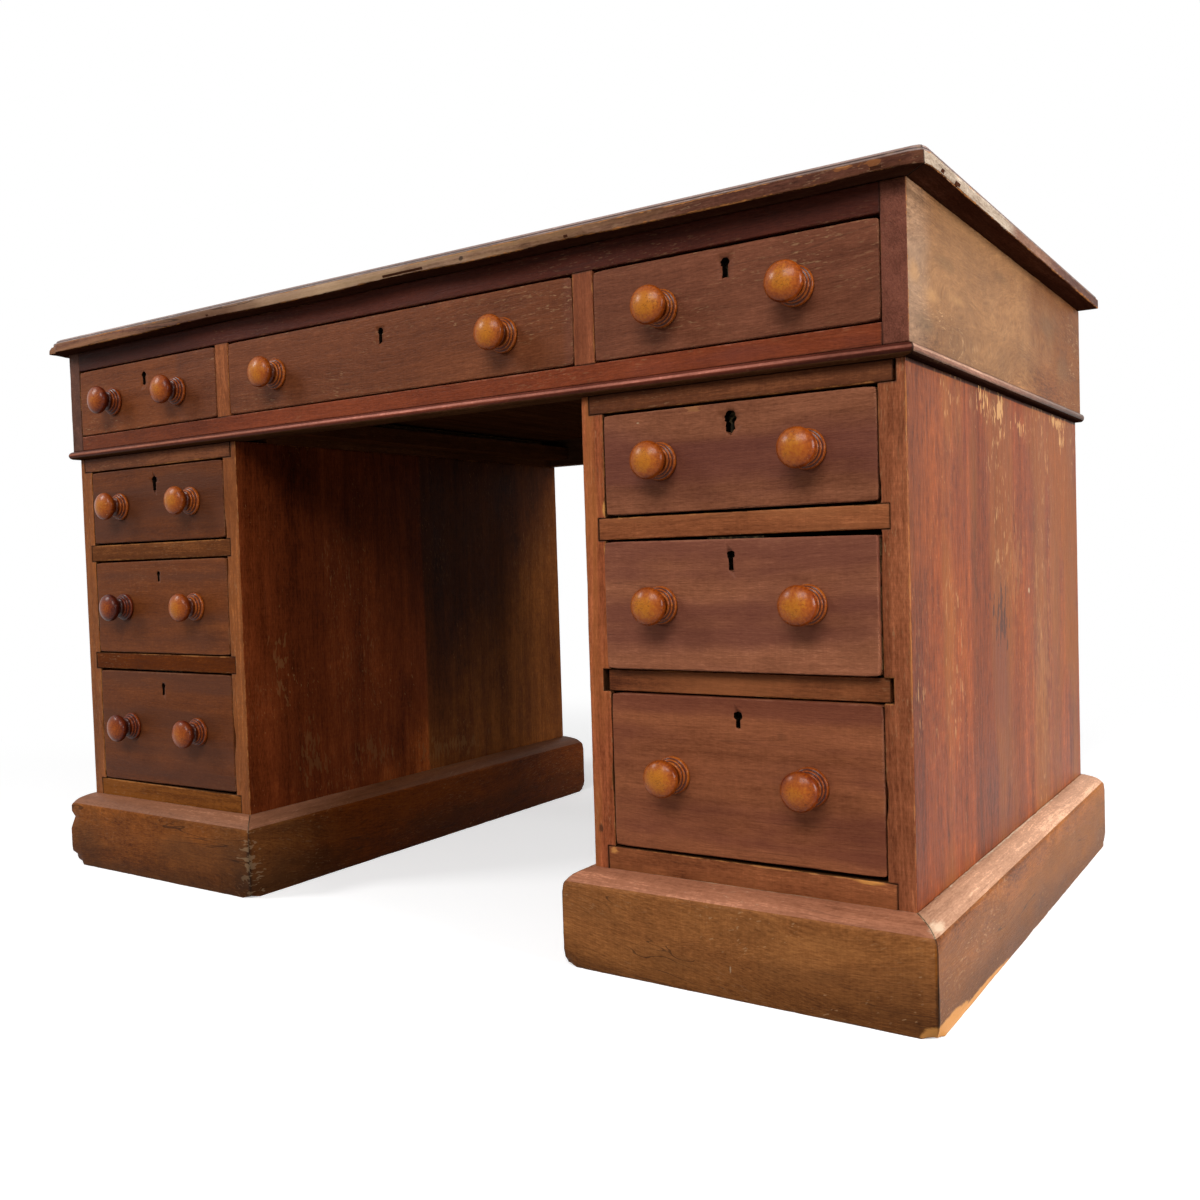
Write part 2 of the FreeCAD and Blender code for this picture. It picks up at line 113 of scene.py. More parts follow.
class Shader:
    """Builds the nodes of one material or world. Values are sockets or constants."""

    def __init__(self, owner, surface="Principled BSDF"):
        owner.use_nodes = True
        self.owner = owner
        self.tree = owner.node_tree
        self.surface = self.tree.nodes[surface]

    def add(self, kind, inputs=(), **settings):
        node = self.tree.nodes.new(kind)
        for key, value in settings.items():
            setattr(node, key, value)
        for key, value in dict(inputs).items():
            self.put(node.inputs[key], value)
        return node

    def put(self, socket, value):
        if isinstance(value, bpy.types.NodeSocket):
            self.tree.links.new(value, socket)
        else:
            socket.default_value = value

    def maths(self, operation, a, b=0.0):
        return self.add("ShaderNodeMath", {0: a, 1: b}, operation=operation).outputs[0]

    def times(self, product, *factors):
        for factor in factors:
            product = self.maths("MULTIPLY", product, factor)
        return product

    def total(self, *terms):
        """The sum of some values. A pair is a value and its share."""
        found = None
        for term in terms:
            if isinstance(term, tuple):
                term = self.times(*term)
            found = term if found is None else self.maths("ADD", found, term)
        return found

    def centred(self, value):
        """A noise less its middle."""
        return self.maths("SUBTRACT", value, 0.5)

    def vector(self, operation, a, b=(0, 0, 0)):
        node = self.add("ShaderNodeVectorMath", {0: a, 1: b}, operation=operation)
        return node.outputs["Value" if operation in ("LENGTH", "DOT_PRODUCT") else "Vector"]

    def split(self, vector):
        return self.add("ShaderNodeSeparateXYZ", {0: vector}).outputs

    def noise(self, place, scale, detail=3.0, rough=0.55, colour=False):
        """Fractal noise of about 0 to 1. The scale is per metre, for each axis."""
        inputs = {"Vector": self.vector("MULTIPLY", place, scale), "Scale": 1.0, "Detail": detail,
                  "Roughness": rough}
        return self.add("ShaderNodeTexNoise", inputs).outputs["Color" if colour else "Fac"]

    def step(self, value, low, high, out_low=0.0, out_high=1.0):
        inputs = {"Value": value, "From Min": low, "From Max": high, "To Min": out_low, "To Max": out_high}
        return self.add("ShaderNodeMapRange", inputs, interpolation_type="SMOOTHSTEP").outputs[0]

    def mix(self, share, a, b, blend="MIX"):
        node = self.add("ShaderNodeMix", {0: share}, data_type="RGBA", blend_type=blend)
        for socket, value in ((node.inputs[6], a), (node.inputs[7], b)):
            self.put(socket, value if isinstance(value, bpy.types.NodeSocket) else colour(value))
        return node.outputs[2]

    def ramp(self, value, stops):
        node = self.add("ShaderNodeValToRGB", {"Fac": value})
        elements = node.color_ramp.elements
        while len(elements) < len(stops):
            elements.new(0.5)
        for element, (position, tone) in zip(elements, stops):
            element.position = position
            element.color = colour(tone)
        return node.outputs["Color"]

    def attribute(self, name, output="Fac"):
        return self.add("ShaderNodeAttribute", attribute_name=name).outputs[output]

    def object_place(self):
        return self.add("ShaderNodeTexCoord").outputs["Object"]

    def bump(self, height, distance, strength=1.0):
        node = self.add("ShaderNodeBump", {"Height": height, "Distance": distance, "Strength": strength})
        self.put(self.surface.inputs["Normal"], node.outputs[0])

    def set(self, **values):
        for key, value in values.items():
            self.put(self.surface.inputs[key.replace("_", " ")], value)


def colour(tone):
    return (*tone[:3], 1.0)


# Materials

PALE = (0.40, 0.235, 0.115)
RAW = (0.46, 0.185, 0.055)
GRIME = (0.016, 0.008, 0.005)
PURPLE = (0.105, 0.028, 0.022)
TAN = (0.330, 0.140, 0.050)
BONE = (0.42, 0.30, 0.18)

# Softness of the marks that are scraped along the fibres. A softer mark follows the broad patches
SCRAPED = 0.9
BROAD = 0.92


def shade(base, light):
    """A base tone made lighter or darker the way old mahogany varies, redder where it is darker."""
    return tuple(channel * light ** power for channel, power in zip(base, (1.0, 1.16, 1.28)))


def narrow(s, value, width):
    """One where a noise crosses its middle, which draws thin wandering lines."""
    return s.step(s.maths("ABSOLUTE", s.centred(value)), width * 0.4, width, 1.0, 0.0)


def zoned(s, tone, zones, here, patch):
    """Multiplies the tone past a ragged line across each zone's direction."""
    for way, low, high, factor in zones:
        reached = s.total(s.vector("DOT_PRODUCT", here, way), (s.centred(patch), (high - low) * 1.2))
        tone = s.mix(s.step(reached, low, high), tone, factor, "MULTIPLY")
    return tone


def marked(s, tone, marks, here, along, patch, bite):
    """Lays each mark over the tone. Scraped marks are drawn out along the fibres."""
    for place, size, mark_tone, share, softness in marks:
        away = s.vector("LENGTH", s.vector("DIVIDE", s.vector("SUBTRACT", here, place), size))
        if softness == SCRAPED:
            scrape = s.noise(along, (45.0, 150.0, 150.0), 2.0, 0.7)
            found = s.step(s.total(away, (s.centred(scrape), 6.0)), 0.15, 0.40, share, 0.0)
        else:
            ragged = s.centred(patch if softness > BROAD else bite)
            found = s.step(s.total(away, (ragged, 2.2 * softness)), 1.0 - softness, 1.0, share, 0.0)
        tone = s.mix(found, tone, mark_tone)
    return tone


def wood(name, base, second=None, axis=None, contrast=1.0, figure=1.0, bands=34.0, wave=0.010, flecks=0.35,
         worn=0.6, scratches=0.0, cracks=0.25, dust=0.0, rough=0.45, shine=0.07, pale_tone=PALE,
         worn_tone=RAW, coarse=1.5, under=None, zones=(), marks=()):
    """Old polished wood. Its fibres run along the first axis of the piece's grain coordinates."""
    s = Shader(bpy.data.materials.new(name))
    here = s.object_place()
    if axis is None:
        grain = s.attribute("grain", "Vector")
    else:
        split = s.split(here)
        order = {i: split[a] for i, a in enumerate(GRAIN_ORDER[axis])}
        grain = s.add("ShaderNodeCombineXYZ", order).outputs[0]
    drift = s.vector("SUBTRACT", s.noise(grain, (1.6, 6.0, 6.0), 2.0, colour=True), (0.5, 0.5, 0.5))
    along = s.vector("ADD", grain, s.vector("MULTIPLY", drift, (0.0, wave * 4, wave * 4)))
    growth = s.noise(along, (1.3, bands, bands), 2.0, 0.6)
    ribbon = s.noise(along, (4.0, bands * 4, bands * 4), 3.0, 0.6)
    fibres = s.noise(along, (28.0, 760.0 / coarse, 760.0 / coarse), 3.0, 0.7)
    grit = s.noise(along, (190.0 / coarse ** 0.5, 950.0 / coarse, 950.0 / coarse), 2.0, 0.7)
    patina = s.noise(grain, (4.0, 7.0, 7.0), 4.0, 0.6)
    cloud = s.noise(grain, (36.0, 70.0, 70.0), 3.0, 0.6)
    across = s.noise(grain, (620.0, 34.0, 34.0), 2.0, 0.6)
    patch = s.noise(grain, (9.0, 14.0, 14.0), 3.0, 0.6)
    bite = s.noise(grain, (90.0, 240.0, 240.0), 3.0, 0.65)

    parts = ((growth, 0.36 * figure), (ribbon, 0.22 * figure), (fibres, 0.26), (grit, 0.30), (patina, 0.32),
             (cloud, 0.18), (across, 0.08))
    value = s.total((s.attribute("tone"), 0.05), *parts)
    centre = sum(share for part, share in parts) / 2
    reach = 0.125 / contrast
    tone = s.ramp(value, [(centre + reach * turn, shade(base, light))
                          for turn, light in ((-2, 0.30), (-0.8, 0.70), (0.5, 1.16), (2, 1.75))])
    if second:
        streak = s.noise(along, (0.9, bands * 0.6, bands * 0.6), 2.0, 0.5)
        streak = s.step(s.total((streak, 0.6), (patina, 0.4)), 0.46, 0.57, 0.0, 0.85)
        tone = s.mix(streak, tone, s.mix(0.7, tone, second))
    tone = zoned(s, tone, zones, here, patch)
    # Faces that point down are multiplied by the under colour: painted shade on their undersides.
    if under:
        facing_up = s.split(s.add("ShaderNodeNewGeometry").outputs["Normal"])[2]
        tone = s.mix(s.step(facing_up, -0.9, -0.5, 1.0, 0.0), tone, under, "MULTIPLY")

    arris = s.attribute("wear")
    fleck = s.noise(along, (110.0 / coarse ** 0.5, 760.0 / coarse, 760.0 / coarse), 2.0, 0.7)
    region = s.step(s.noise(grain, (4.0, 9.0, 9.0), 3.0, 0.6), 0.50, 0.66)
    region = s.maths("MAXIMUM", region, s.times(arris, 0.8))
    tone = s.mix(s.times(s.step(fleck, 0.58, 0.68), region, flecks), tone, pale_tone)
    if cracks:
        line = narrow(s, s.noise(along, (2.0, 70.0, 70.0), 1.0), 0.010)
        broken = s.step(s.noise(grain, (9.0, 30.0, 30.0), 2.0), 0.54, 0.62)
        tone = s.mix(s.times(line, broken, cracks), tone, GRIME)
    if scratches:
        turned = s.add("ShaderNodeVectorRotate", {"Vector": grain, "Axis": (0.1, 0.7, 0.7), "Angle": 0.5},
                       rotation_type="AXIS_ANGLE").outputs[0]
        line = s.step(s.noise(turned, (9.0, 420.0, 420.0), 1.0), 0.68, 0.73)
        tone = s.mix(s.times(line, s.step(patch, 0.50, 0.62), scratches), tone, pale_tone)

    rubbed = s.step(s.total((arris, 0.55), (bite, 0.70), (patch, 0.80)), 1.18, 1.36)
    rubbed = s.times(rubbed, s.step(arris, 0.30, 0.75))
    tone = s.mix(s.times(rubbed, worn), tone, worn_tone)
    hollow = s.attribute("grime")
    grime = s.times(hollow, s.total((patch, 1.1), 0.25))
    tone = s.mix(s.step(grime, 0.25, 1.0, 0.0, 0.85), tone, GRIME)
    if dust:
        settled = s.step(s.total((hollow, 0.6), (bite, 0.9)), 0.86, 1.0)
        tone = s.mix(s.times(settled, s.step(patch, 0.38, 0.56), dust), tone, BONE)
    tone = marked(s, tone, marks, here, along, patch, bite)

    s.bump(s.total((fibres, 0.6), (grit, 0.5), (ribbon, 0.35), (rubbed, -0.8)), 0.0006)
    gloss = s.total((patina, 0.24), rough - 0.12, (rubbed, 0.25))
    s.set(Base_Color=tone, Roughness=gloss, Specular_IOR_Level=shine)
    return s.owner


def knob_finish():
    """Turned hardwood under orange polish, redder round the rim and darkest in the coves."""
    s = Shader(bpy.data.materials.new("knob_polish"))
    grain = s.attribute("grain", "Vector")
    mottle = s.noise(grain, (55.0, 70.0, 70.0), 4.0, 0.55)
    streak = s.noise(grain, (30.0, 420.0, 420.0), 2.0)
    value = s.total((mottle, 0.36), (streak, 0.44), (s.attribute("tone"), 0.30), (s.attribute("wear"), 0.38))
    tone = s.ramp(value, [(0.21, (0.044, 0.005, 0.002)), (0.39, (0.113, 0.015, 0.003)),
                          (0.575, (0.231, 0.044, 0.003)), (0.72, (0.330, 0.075, 0.008)),
                          (0.90, (0.435, 0.139, 0.010))])
    tone = s.mix(s.times(s.attribute("grime"), 0.8), tone, (0.030, 0.005, 0.002))
    nick = s.step(s.noise(grain, (300.0, 420.0, 420.0), 2.0, 0.7), 0.66, 0.74)
    nick = s.times(nick, s.step(s.noise(grain, (40.0, 40.0, 40.0), 2.0), 0.52, 0.66))
    tone = s.mix(s.times(nick, 0.7), tone, (0.55, 0.30, 0.11))
    crazed = narrow(s, s.noise(grain, (120.0, 150.0, 330.0), 2.0), 0.022)
    tone = s.mix(s.times(crazed, s.step(mottle, 0.44, 0.54), 0.55), tone, (0.085, 0.018, 0.003))
    s.bump(s.total((mottle, 0.5), (nick, -1.0)), 0.0003, 0.6)
    s.set(Base_Color=tone, Roughness=s.total((mottle, 0.25), 0.24), Specular_IOR_Level=0.08,
          Coat_Weight=0.18, Coat_Roughness=0.19)
    return s.owner


def brass():
    """Lock brass, darkened nearly to black so that it reads as the shade behind the keyholes: painted shade,
    with faint paler spots.
    """
    s = Shader(bpy.data.materials.new("brass_painted_as_shade"))
    here = s.object_place()
    bloom = s.noise(here, (160.0, 160.0, 160.0), 4.0, 0.6)
    brush = s.noise(here, (30.0, 900.0, 900.0), 2.0)
    tone = s.ramp(bloom, [(0.34, (0.006, 0.006, 0.004)), (0.50, (0.018, 0.013, 0.007)),
                          (0.70, (0.12, 0.08, 0.035))])
    s.bump(s.total((bloom, 0.7), (brush, 0.3)), 0.0001, 0.5)
    s.set(Base_Color=tone, Metallic=0.3, Roughness=s.step(bloom, 0.3, 0.7, 0.75, 0.50),
          Specular_IOR_Level=0.1)
    return s.owner


# Marks that the photograph shows: place, half size, tone, share and softness

SCUFF = (0.56, 0.31, 0.12)
FADED = (0.44, 0.20, 0.065)
INNER_SCUFF = (0.24, 0.10, 0.035)
BARE = (0.52, 0.23, 0.06)
END_SCUFF = (0.42, 0.22, 0.085)
MARK_DEPTH = 0.02


def flat_marks(axis, at, *rows):
    """Marks on a flat face across an axis. A row has its two places and two half sizes on the other axes."""
    found = []
    for first, second, half_first, half_second, *look in rows:
        place, half = [first, second], [half_first, half_second]
        place.insert(axis, at)
        half.insert(axis, MARK_DEPTH)
        found.append((place, half, *look))
    return tuple(found)


SIDE_MARKS = flat_marks(0, 0.614,
    (-0.097, 0.577, 0.034, 0.018, SCUFF, 0.7, SCRAPED),
    (-0.036, 0.566, 0.024, 0.026, SCUFF, 0.6, SCRAPED),
    (0.048, 0.56, 0.036, 0.009, SCUFF, 0.5, SCRAPED),
    (0.25, 0.58, 0.06, 0.008, SCUFF, 0.6, SCRAPED),
    (0.27, 0.556, 0.024, 0.012, SCUFF, 0.6, SCRAPED),
    (0.02, 0.4, 0.05, 0.08, FADED, 0.18, SCRAPED),
    (0.15, 0.27, 0.07, 0.13, FADED, 0.18, SCRAPED),
    (-0.05, 0.28, 0.045, 0.08, PURPLE, 0.4, 0.95),
    (-0.046, 0.345, 0.042, 0.04, (0.04, 0.016, 0.012), 0.8, 0.9),
    (0.082, 0.37, 0.004, 0.005, BONE, 0.8, 0.5),
)
STILE_MARKS = flat_marks(1, -0.346,
    (0.2965, 0.474, 0.0028, 0.01, (0.6, 0.27, 0.07), 0.9, 0.5),
    (0.2965, 0.431, 0.0024, 0.01, (0.55, 0.25, 0.07), 0.85, 0.6),
    (0.2805, 0.142, 0.004, 0.006, GRIME, 0.7, 0.6),
)
INNER_MARKS = flat_marks(0, -0.272,
    (-0.285, 0.29, 0.018, 0.06, INNER_SCUFF, 0.5, SCRAPED),
    (-0.235, 0.17, 0.03, 0.05, INNER_SCUFF, 0.4, SCRAPED),
    (-0.12, 0.15, 0.04, 0.03, INNER_SCUFF, 0.4, SCRAPED),
    (0.06, 0.13, 0.1, 0.02, INNER_SCUFF, 0.5, SCRAPED),
)
RAIL_MARKS = flat_marks(1, -0.346,
    (0.571, 0.1235, 0.018, 0.0028, (0.6, 0.25, 0.06), 0.9, 0.6),
    (0.296, 0.121, 0.006, 0.005, (0.58, 0.25, 0.07), 0.8, 0.7),
)
FRONT_MARKS = flat_marks(1, -0.346,
    (0.34, 0.557, 0.0022, 0.0012, BONE, 0.6, 0.6),
    (0.402, 0.567, 0.01, 0.005, TAN, 0.5, SCRAPED),
)
PLINTH_MARKS = flat_marks(1, -0.371,
    (0.441, 0.029, 0.0012, 0.004, BONE, 0.6, 0.5),
)
PLINTH_SIDE_MARKS = (
    ((0.64, -0.345, 0.0), (0.02, 0.075, 0.015), BARE, 0.9, 0.16),
    ((0.64, -0.24, 0.0), (0.02, 0.11, 0.007), BARE, 0.9, 0.2),
    ((0.64, -0.371, 0.03), (0.004, 0.004, 0.034), GRIME, 0.6, 0.6),
)
SLOPE_MARKS = (
    ((0.614, 0.0, 0.1025), (0.0032, 0.38, 0.006), (0.62, 0.5, 0.36), 0.85, 0.8),
    ((0.443, -0.3455, 0.1025), (0.17, 0.0018, 0.005), (0.5, 0.36, 0.22), 0.6, 0.8),
    ((0.634, -0.35, 0.094), (0.008, 0.02, 0.01), (0.66, 0.5, 0.35), 0.65, 0.85),
)
BAND_MARKS = (
    ((0.645, -0.335, 0.7485), (0.03, 0.014, 0.0005), GRIME, 0.55, 0.6),
    ((0.645, -0.25, 0.75), (0.03, 0.01, 0.0004), GRIME, 0.45, 0.6),
)
EDGE_MARKS = flat_marks(1, -0.376,
    (0.6, 0.75, 0.045, 0.006, (0.33, 0.115, 0.03), 0.45, SCRAPED),
    (0.33, 0.7425, 0.3, 0.0016, (0.34, 0.13, 0.035), 0.8, SCRAPED),
    (0.33, 0.7535, 0.3, 0.0012, (0.36, 0.15, 0.05), 0.8, SCRAPED),
    (-0.64, 0.748, 0.03, 0.014, (0.3, 0.11, 0.035), 0.7, SCRAPED),
    (0.143, 0.7475, 0.004, 0.003, GRIME, 0.8, 0.5),
)
LEFT_PLINTH_MARKS = (
    ((-0.246, -0.371, 0.04), (0.006, 0.006, 0.06), GRIME, 0.75, 1.0),
    ((-0.25, -0.367, 0.055), (0.016, 0.016, 0.05), (0.34, 0.22, 0.12), 0.42, SCRAPED),
    ((-0.262, -0.371, 0.02), (0.03, 0.02, 0.03), GRIME, 0.45, 0.97),
    ((-0.61, -0.371, 0.03), (0.05, 0.02, 0.04), GRIME, 0.35, 0.97),
)
END_MARKS = flat_marks(0, 0.62,
    (-0.335, 0.664, 0.02, 0.016, END_SCUFF, 0.45, 0.95),
    (-0.285, 0.652, 0.034, 0.01, END_SCUFF, 0.45, 0.95),
    (-0.205, 0.66, 0.05, 0.01, END_SCUFF, 0.45, 0.95),
    (-0.3, 0.622, 0.06, 0.016, (0.115, 0.07, 0.036), 0.55, 0.95),
    (-0.24, 0.688, 0.06, 0.009, (0.125, 0.066, 0.028), 0.5, 0.95),
    (-0.05, 0.712, 0.07, 0.01, (0.1, 0.052, 0.022), 0.55, 0.95),
    (0.17, 0.69, 0.07, 0.02, (0.105, 0.052, 0.022), 0.5, 0.95),
    (0.26, 0.65, 0.05, 0.03, (0.105, 0.052, 0.022), 0.45, 0.95),
    (-0.33, 0.73, 0.06, 0.008, (0.09, 0.045, 0.02), 0.6, 0.95),
)

# A zone is a direction, the places along it where the zone begins and is full, and the factor of its tone
FINISH = {
    "top": wood("top_boards", (0.13, 0.042, 0.02), figure=1.2, rough=0.38, shine=0.15),
    "edge": wood(
        "top_front_edge", (0.076, 0.024, 0.0128), (0.13, 0.047, 0.019), contrast=1.7, bands=120.0,
        flecks=0.4, worn=0.9, cracks=0.8, rough=0.6, worn_tone=(0.42, 0.17, 0.05),
        pale_tone=(0.4, 0.25, 0.14), marks=EDGE_MARKS,
        zones=((LEFT, -0.44, -0.26, (2.0, 3.0, 3.2)), (LEFT, -0.26, 0.05, (1.75, 2.1, 2.6)),
               (LEFT, 0.04, 0.24, (0.4, 0.31, 0.3)), (LEFT, 0.36, 0.48, (1.6, 1.5, 1.35)))),
    # The moulding's pale grey-pink tone is a painted reflection of the bright surroundings; its zones paint a
    # dark line at the set-back as painted shade and a bright line above it as a painted highlight.
    "moulding": wood(
        "top_moulding_painted_light", (0.27, 0.18, 0.15), flecks=0.3, worn=0.2, rough=0.4, shine=0.2,
        zones=((UP, 0.7554, 0.756, (0.2, 0.16, 0.16)), (UP, 0.7568, 0.7573, (5.0, 6.0, 6.0)))),
    "band": wood(
        "top_side_edge", (0.15, 0.07, 0.042), contrast=1.3, flecks=0.6, worn=0.8, cracks=0.9, rough=0.6,
        pale_tone=(0.5, 0.38, 0.24), marks=BAND_MARKS,
        zones=((FRONT, 0.06, 0.12, (2.3, 3.8, 4.7)), (BACK, 0.04, 0.12, (0.45, 0.38, 0.41)))),
    "under": wood("top_underside", (0.0486, 0.0168, 0.0089), flecks=0.1, rough=0.6, shine=0.0),
    "rail": wood(
        "frieze_rail", (0.0562, 0.0111, 0.0053), figure=0.7, flecks=0.15, worn_tone=(0.22, 0.09, 0.05),
        zones=((LEFT, 0.25, 0.45, (0.6, 0.55, 0.47)),)),
    "frieze_stile": wood(
        "frieze_stile", (0.1618, 0.0492, 0.0283), flecks=0.2, worn=0.15,
        zones=((LEFT, 0.5, 0.6, (0.52, 0.62, 0.62)),)),
    "low_rail": wood(
        "frieze_low_rail", (0.1834, 0.0365, 0.0118), PURPLE, figure=0.7, worn_tone=(0.34, 0.12, 0.07),
        zones=((LEFT, 0.2, 0.45, (0.73, 0.79, 0.73)),)),
    "front_bead": wood(
        "front_bead", (0.15, 0.032, 0.015), flecks=0.3, rough=0.42, worn=0.3,
        # These zones paint light on the bead: painted shade on its lower half, a thin painted highlight along
        # the nose ending in a darker line above it, and the bead, highlight included, dimmed toward the right
        # end. The left end is a little darker.
        zones=((DOWN, -0.5955, -0.5935, (0.45, 0.42, 0.4)), (UP, 0.5952, 0.596, (2.4, 3.8, 5.4)),
               (UP, 0.5976, 0.5986, (0.3, 0.2, 0.17)), (RIGHT, 0.42, 0.58, (0.5, 0.45, 0.42)),
               (LEFT, 0.05, 0.35, (0.82, 0.82, 0.7)))),
    "bead": wood(
        "side_bead", (0.1725, 0.0744, 0.045), flecks=0.6, contrast=1.3,
        # The first three zones paint light on the bead: painted shade on its lower half and a painted
        # highlight along the nose, ending in a darker line above it. The last zone darkens the bead toward
        # the back.
        zones=((DOWN, -0.5945, -0.5925, (0.42, 0.42, 0.34)), (UP, 0.5962, 0.597, (1.7, 2.1, 2.2)),
               (UP, 0.5984, 0.5994, (0.4, 0.33, 0.3)), (BACK, -0.1, 0.25, (0.42, 0.5, 0.6)))),
    # Nearly black underside of the side bead: painted shade under the bead.
    "bead_painted_shade": wood("painted_shade_below_side_bead", (0.02, 0.008, 0.005), flecks=0.1, rough=0.7, shine=0.0),
    "muntin": wood(
        "muntin", (0.2049, 0.0565, 0.0222), flecks=0.3, zones=((LEFT, 0.1, 0.2, (0.91, 0.93, 0.72)),)),
    "end": wood(
        "end_panel", (0.264, 0.117, 0.0425), (0.15, 0.075, 0.033), contrast=1.5, flecks=0.8, rough=0.5,
        coarse=2.5, bands=9.0, wave=0.07, marks=END_MARKS,
        zones=((BACK, -0.1, 0.28, (0.54, 0.38, 0.25)), (FRONT, 0.28, 0.335, (1.15, 1.42, 2.05)))),
    "frieze_front": wood(
        "frieze_front", (0.13, 0.037, 0.0137), flecks=0.5, figure=0.8, contrast=0.95, worn=0.3,
        worn_tone=(0.3, 0.13, 0.07),
        zones=((LEFT, 0.37, 0.38, (1.22, 1.16, 0.92)), (RIGHT, 0.255, 0.265, (1.05, 1.14, 1.48)))),
    "front": wood(
        "pedestal_front", (0.2478, 0.0864, 0.0414), PURPLE, flecks=0.08, figure=0.8, contrast=0.85, worn=0.3,
        marks=FRONT_MARKS, worn_tone=(0.32, 0.14, 0.08), zones=((DOWN, -0.3, -0.285, (1.02, 0.93, 0.8)),)),
    "left_front": wood(
        "left_pedestal_front", (0.1297, 0.0345, 0.0088), (0.07, 0.024, 0.013), flecks=0.15, figure=0.8,
        contrast=0.85, worn=0.3, worn_tone=(0.28, 0.13, 0.07)),
    "stile": wood(
        "stile", (0.3062, 0.0794, 0.0283), (0.3, 0.1, 0.024), contrast=1.3, bands=70.0, flecks=0.5,
        worn=0.45, marks=STILE_MARKS, zones=((RIGHT, 0.4, 0.5, (0.8, 0.91, 1.02)),)),
    "mid_rail": wood(
        "mid_rail", (0.2311, 0.0695, 0.0243), (0.28, 0.095, 0.033), contrast=1.1, flecks=0.3, worn=0.6,
        marks=RAIL_MARKS),
    "left_rail": wood(
        "left_rail", (0.1065, 0.032, 0.0085), flecks=0.3, worn=0.5, shine=0.03,
        zones=((DOWN, -0.4, -0.38, (0.88, 0.63, 0.25)), (DOWN, -0.22, -0.2, (1.3, 1.75, 2.6)))),
    "left_stile": wood("left_stile", (0.2314, 0.0699, 0.0183), bands=60.0, flecks=0.4, worn=0.6),
    "top_rail": wood("top_rail", (0.1014, 0.0292, 0.0096), flecks=0.25),
    "side": wood(
        "outer_side", (0.1924, 0.0411, 0.009), (0.215, 0.07, 0.015), contrast=1.2, bands=24.0, flecks=0.5,
        worn=0.35, scratches=0.3, coarse=4.0, pale_tone=(0.5, 0.28, 0.12), marks=SIDE_MARKS,
        zones=((FRONT, 0.275, 0.335, (0.72, 0.73, 0.9)), (BACK, -0.175, -0.14, (0.76, 0.76, 0.82)),
               (BACK, -0.03, 0.03, (1.2, 1.22, 1.12)), (UP, 0.35, 0.5, (0.9, 0.88, 0.98)),
               ((0, -0.7, 0.7), 0.45, 0.56, (1.16, 1.3, 1.2)),
               # The last zone darkens the top few millimetres of the outer sides nearly to black: painted
               # shadow under the side bead.
               ((0, -0.5, -0.8), -0.1, 0.02, (0.9, 0.85, 0.83)), (UP, 0.5855, 0.587, (0.14, 0.12, 0.12)))),
    "inner": wood(
        "kneehole_side", (0.1482, 0.0287, 0.0066), contrast=1.5, bands=20.0, flecks=0.6, scratches=0.7,
        shine=0.02, pale_tone=(0.3, 0.13, 0.05), marks=INNER_MARKS,
        # The first zone darkens the back half; the second makes the lower front much lighter, a painted pool
        # of light coming in at the front of the kneehole.
        zones=((BACK, 0.0, 0.006, (0.5, 0.64, 0.66)), ((0, 0.7, -0.7), -0.18, -0.05, (2.5, 2.9, 2.5)))),
    "plinth": wood(
        "plinth", (0.2245, 0.079, 0.0216), (0.115, 0.046, 0.015), figure=0.5, contrast=1.6, bands=14.0,
        wave=0.04, worn=0.9, scratches=0.5, cracks=0.6, flecks=0.5, marks=PLINTH_MARKS + PLINTH_SIDE_MARKS,
        zones=((DOWN, -0.05, -0.005, (0.66, 0.64, 0.58)), (RIGHT, 0.6365, 0.6385, (0.92, 0.78, 0.4)))),
    "left_plinth": wood(
        "left_plinth", (0.236, 0.07, 0.0134), (0.078, 0.032, 0.013), figure=0.5, contrast=1.6, bands=14.0,
        wave=0.04, worn=0.9, scratches=0.5, cracks=0.6, pale_tone=(0.26, 0.13, 0.06), shine=0.03,
        marks=LEFT_PLINTH_MARKS,
        # The first zone stains the foot darker; the other two darken and redden the end and inner face beside
        # the kneehole: painted shade.
        zones=((DOWN, -0.05, -0.005, (0.66, 0.64, 0.58)), (RIGHT, -0.34, -0.27, (0.66, 0.7, 0.8)),
               ((1, 0.3, 0), -0.345, -0.3, (0.77, 0.49, 0.13)))),
    "slope": wood(
        "plinth_slope", (0.3209, 0.1244, 0.0653), flecks=0.3, worn=0.2, scratches=0.3, dust=0.9,
        contrast=0.9, pale_tone=(0.56, 0.36, 0.23), marks=SLOPE_MARKS,
        zones=(((1, 1, 0), 0.267, 0.27, (1.27, 1.72, 1.93)),)),
    "left_slope": wood(
        "left_plinth_slope", (0.243, 0.099, 0.0508), flecks=0.12, worn=0.2, scratches=0.3, dust=0.6,
        contrast=0.75, pale_tone=(0.4, 0.22, 0.13),
        # The zone darkens the slope beside the kneehole: painted shade.
        zones=(((1, 0.3, 0), -0.345, -0.3, (0.5, 0.42, 0.32)),)),
    "carcass": wood("carcass", (0.075, 0.03, 0.012), flecks=0.2, rough=0.7, shine=0.0),
    "runner": wood("carcass_strips", (0.1, 0.034, 0.011), axis="y", flecks=0.2, rough=0.7, shine=0.0),
    "lining": wood(
        "lining", (0.33, 0.19, 0.095), axis="y", flecks=0.2, rough=0.65, shine=0.0,
        # Painted shade: the undersides of the drawer boxes are darkened.
        under=(0.22, 0.13, 0.08)),
    "backboard": wood("backboard", (0.08, 0.034, 0.015), flecks=0.2, rough=0.7),
    # Nearly black walls, so that the inside of each keyhole reads as shade: painted shade.
    "keyhole": wood("keyhole_wall_painted_shade", (0.01, 0.006, 0.004), flecks=0.1, rough=0.7, shine=0.0),
    "knob": knob_finish(),
    "brass": brass(),
}


# Mesh helpers

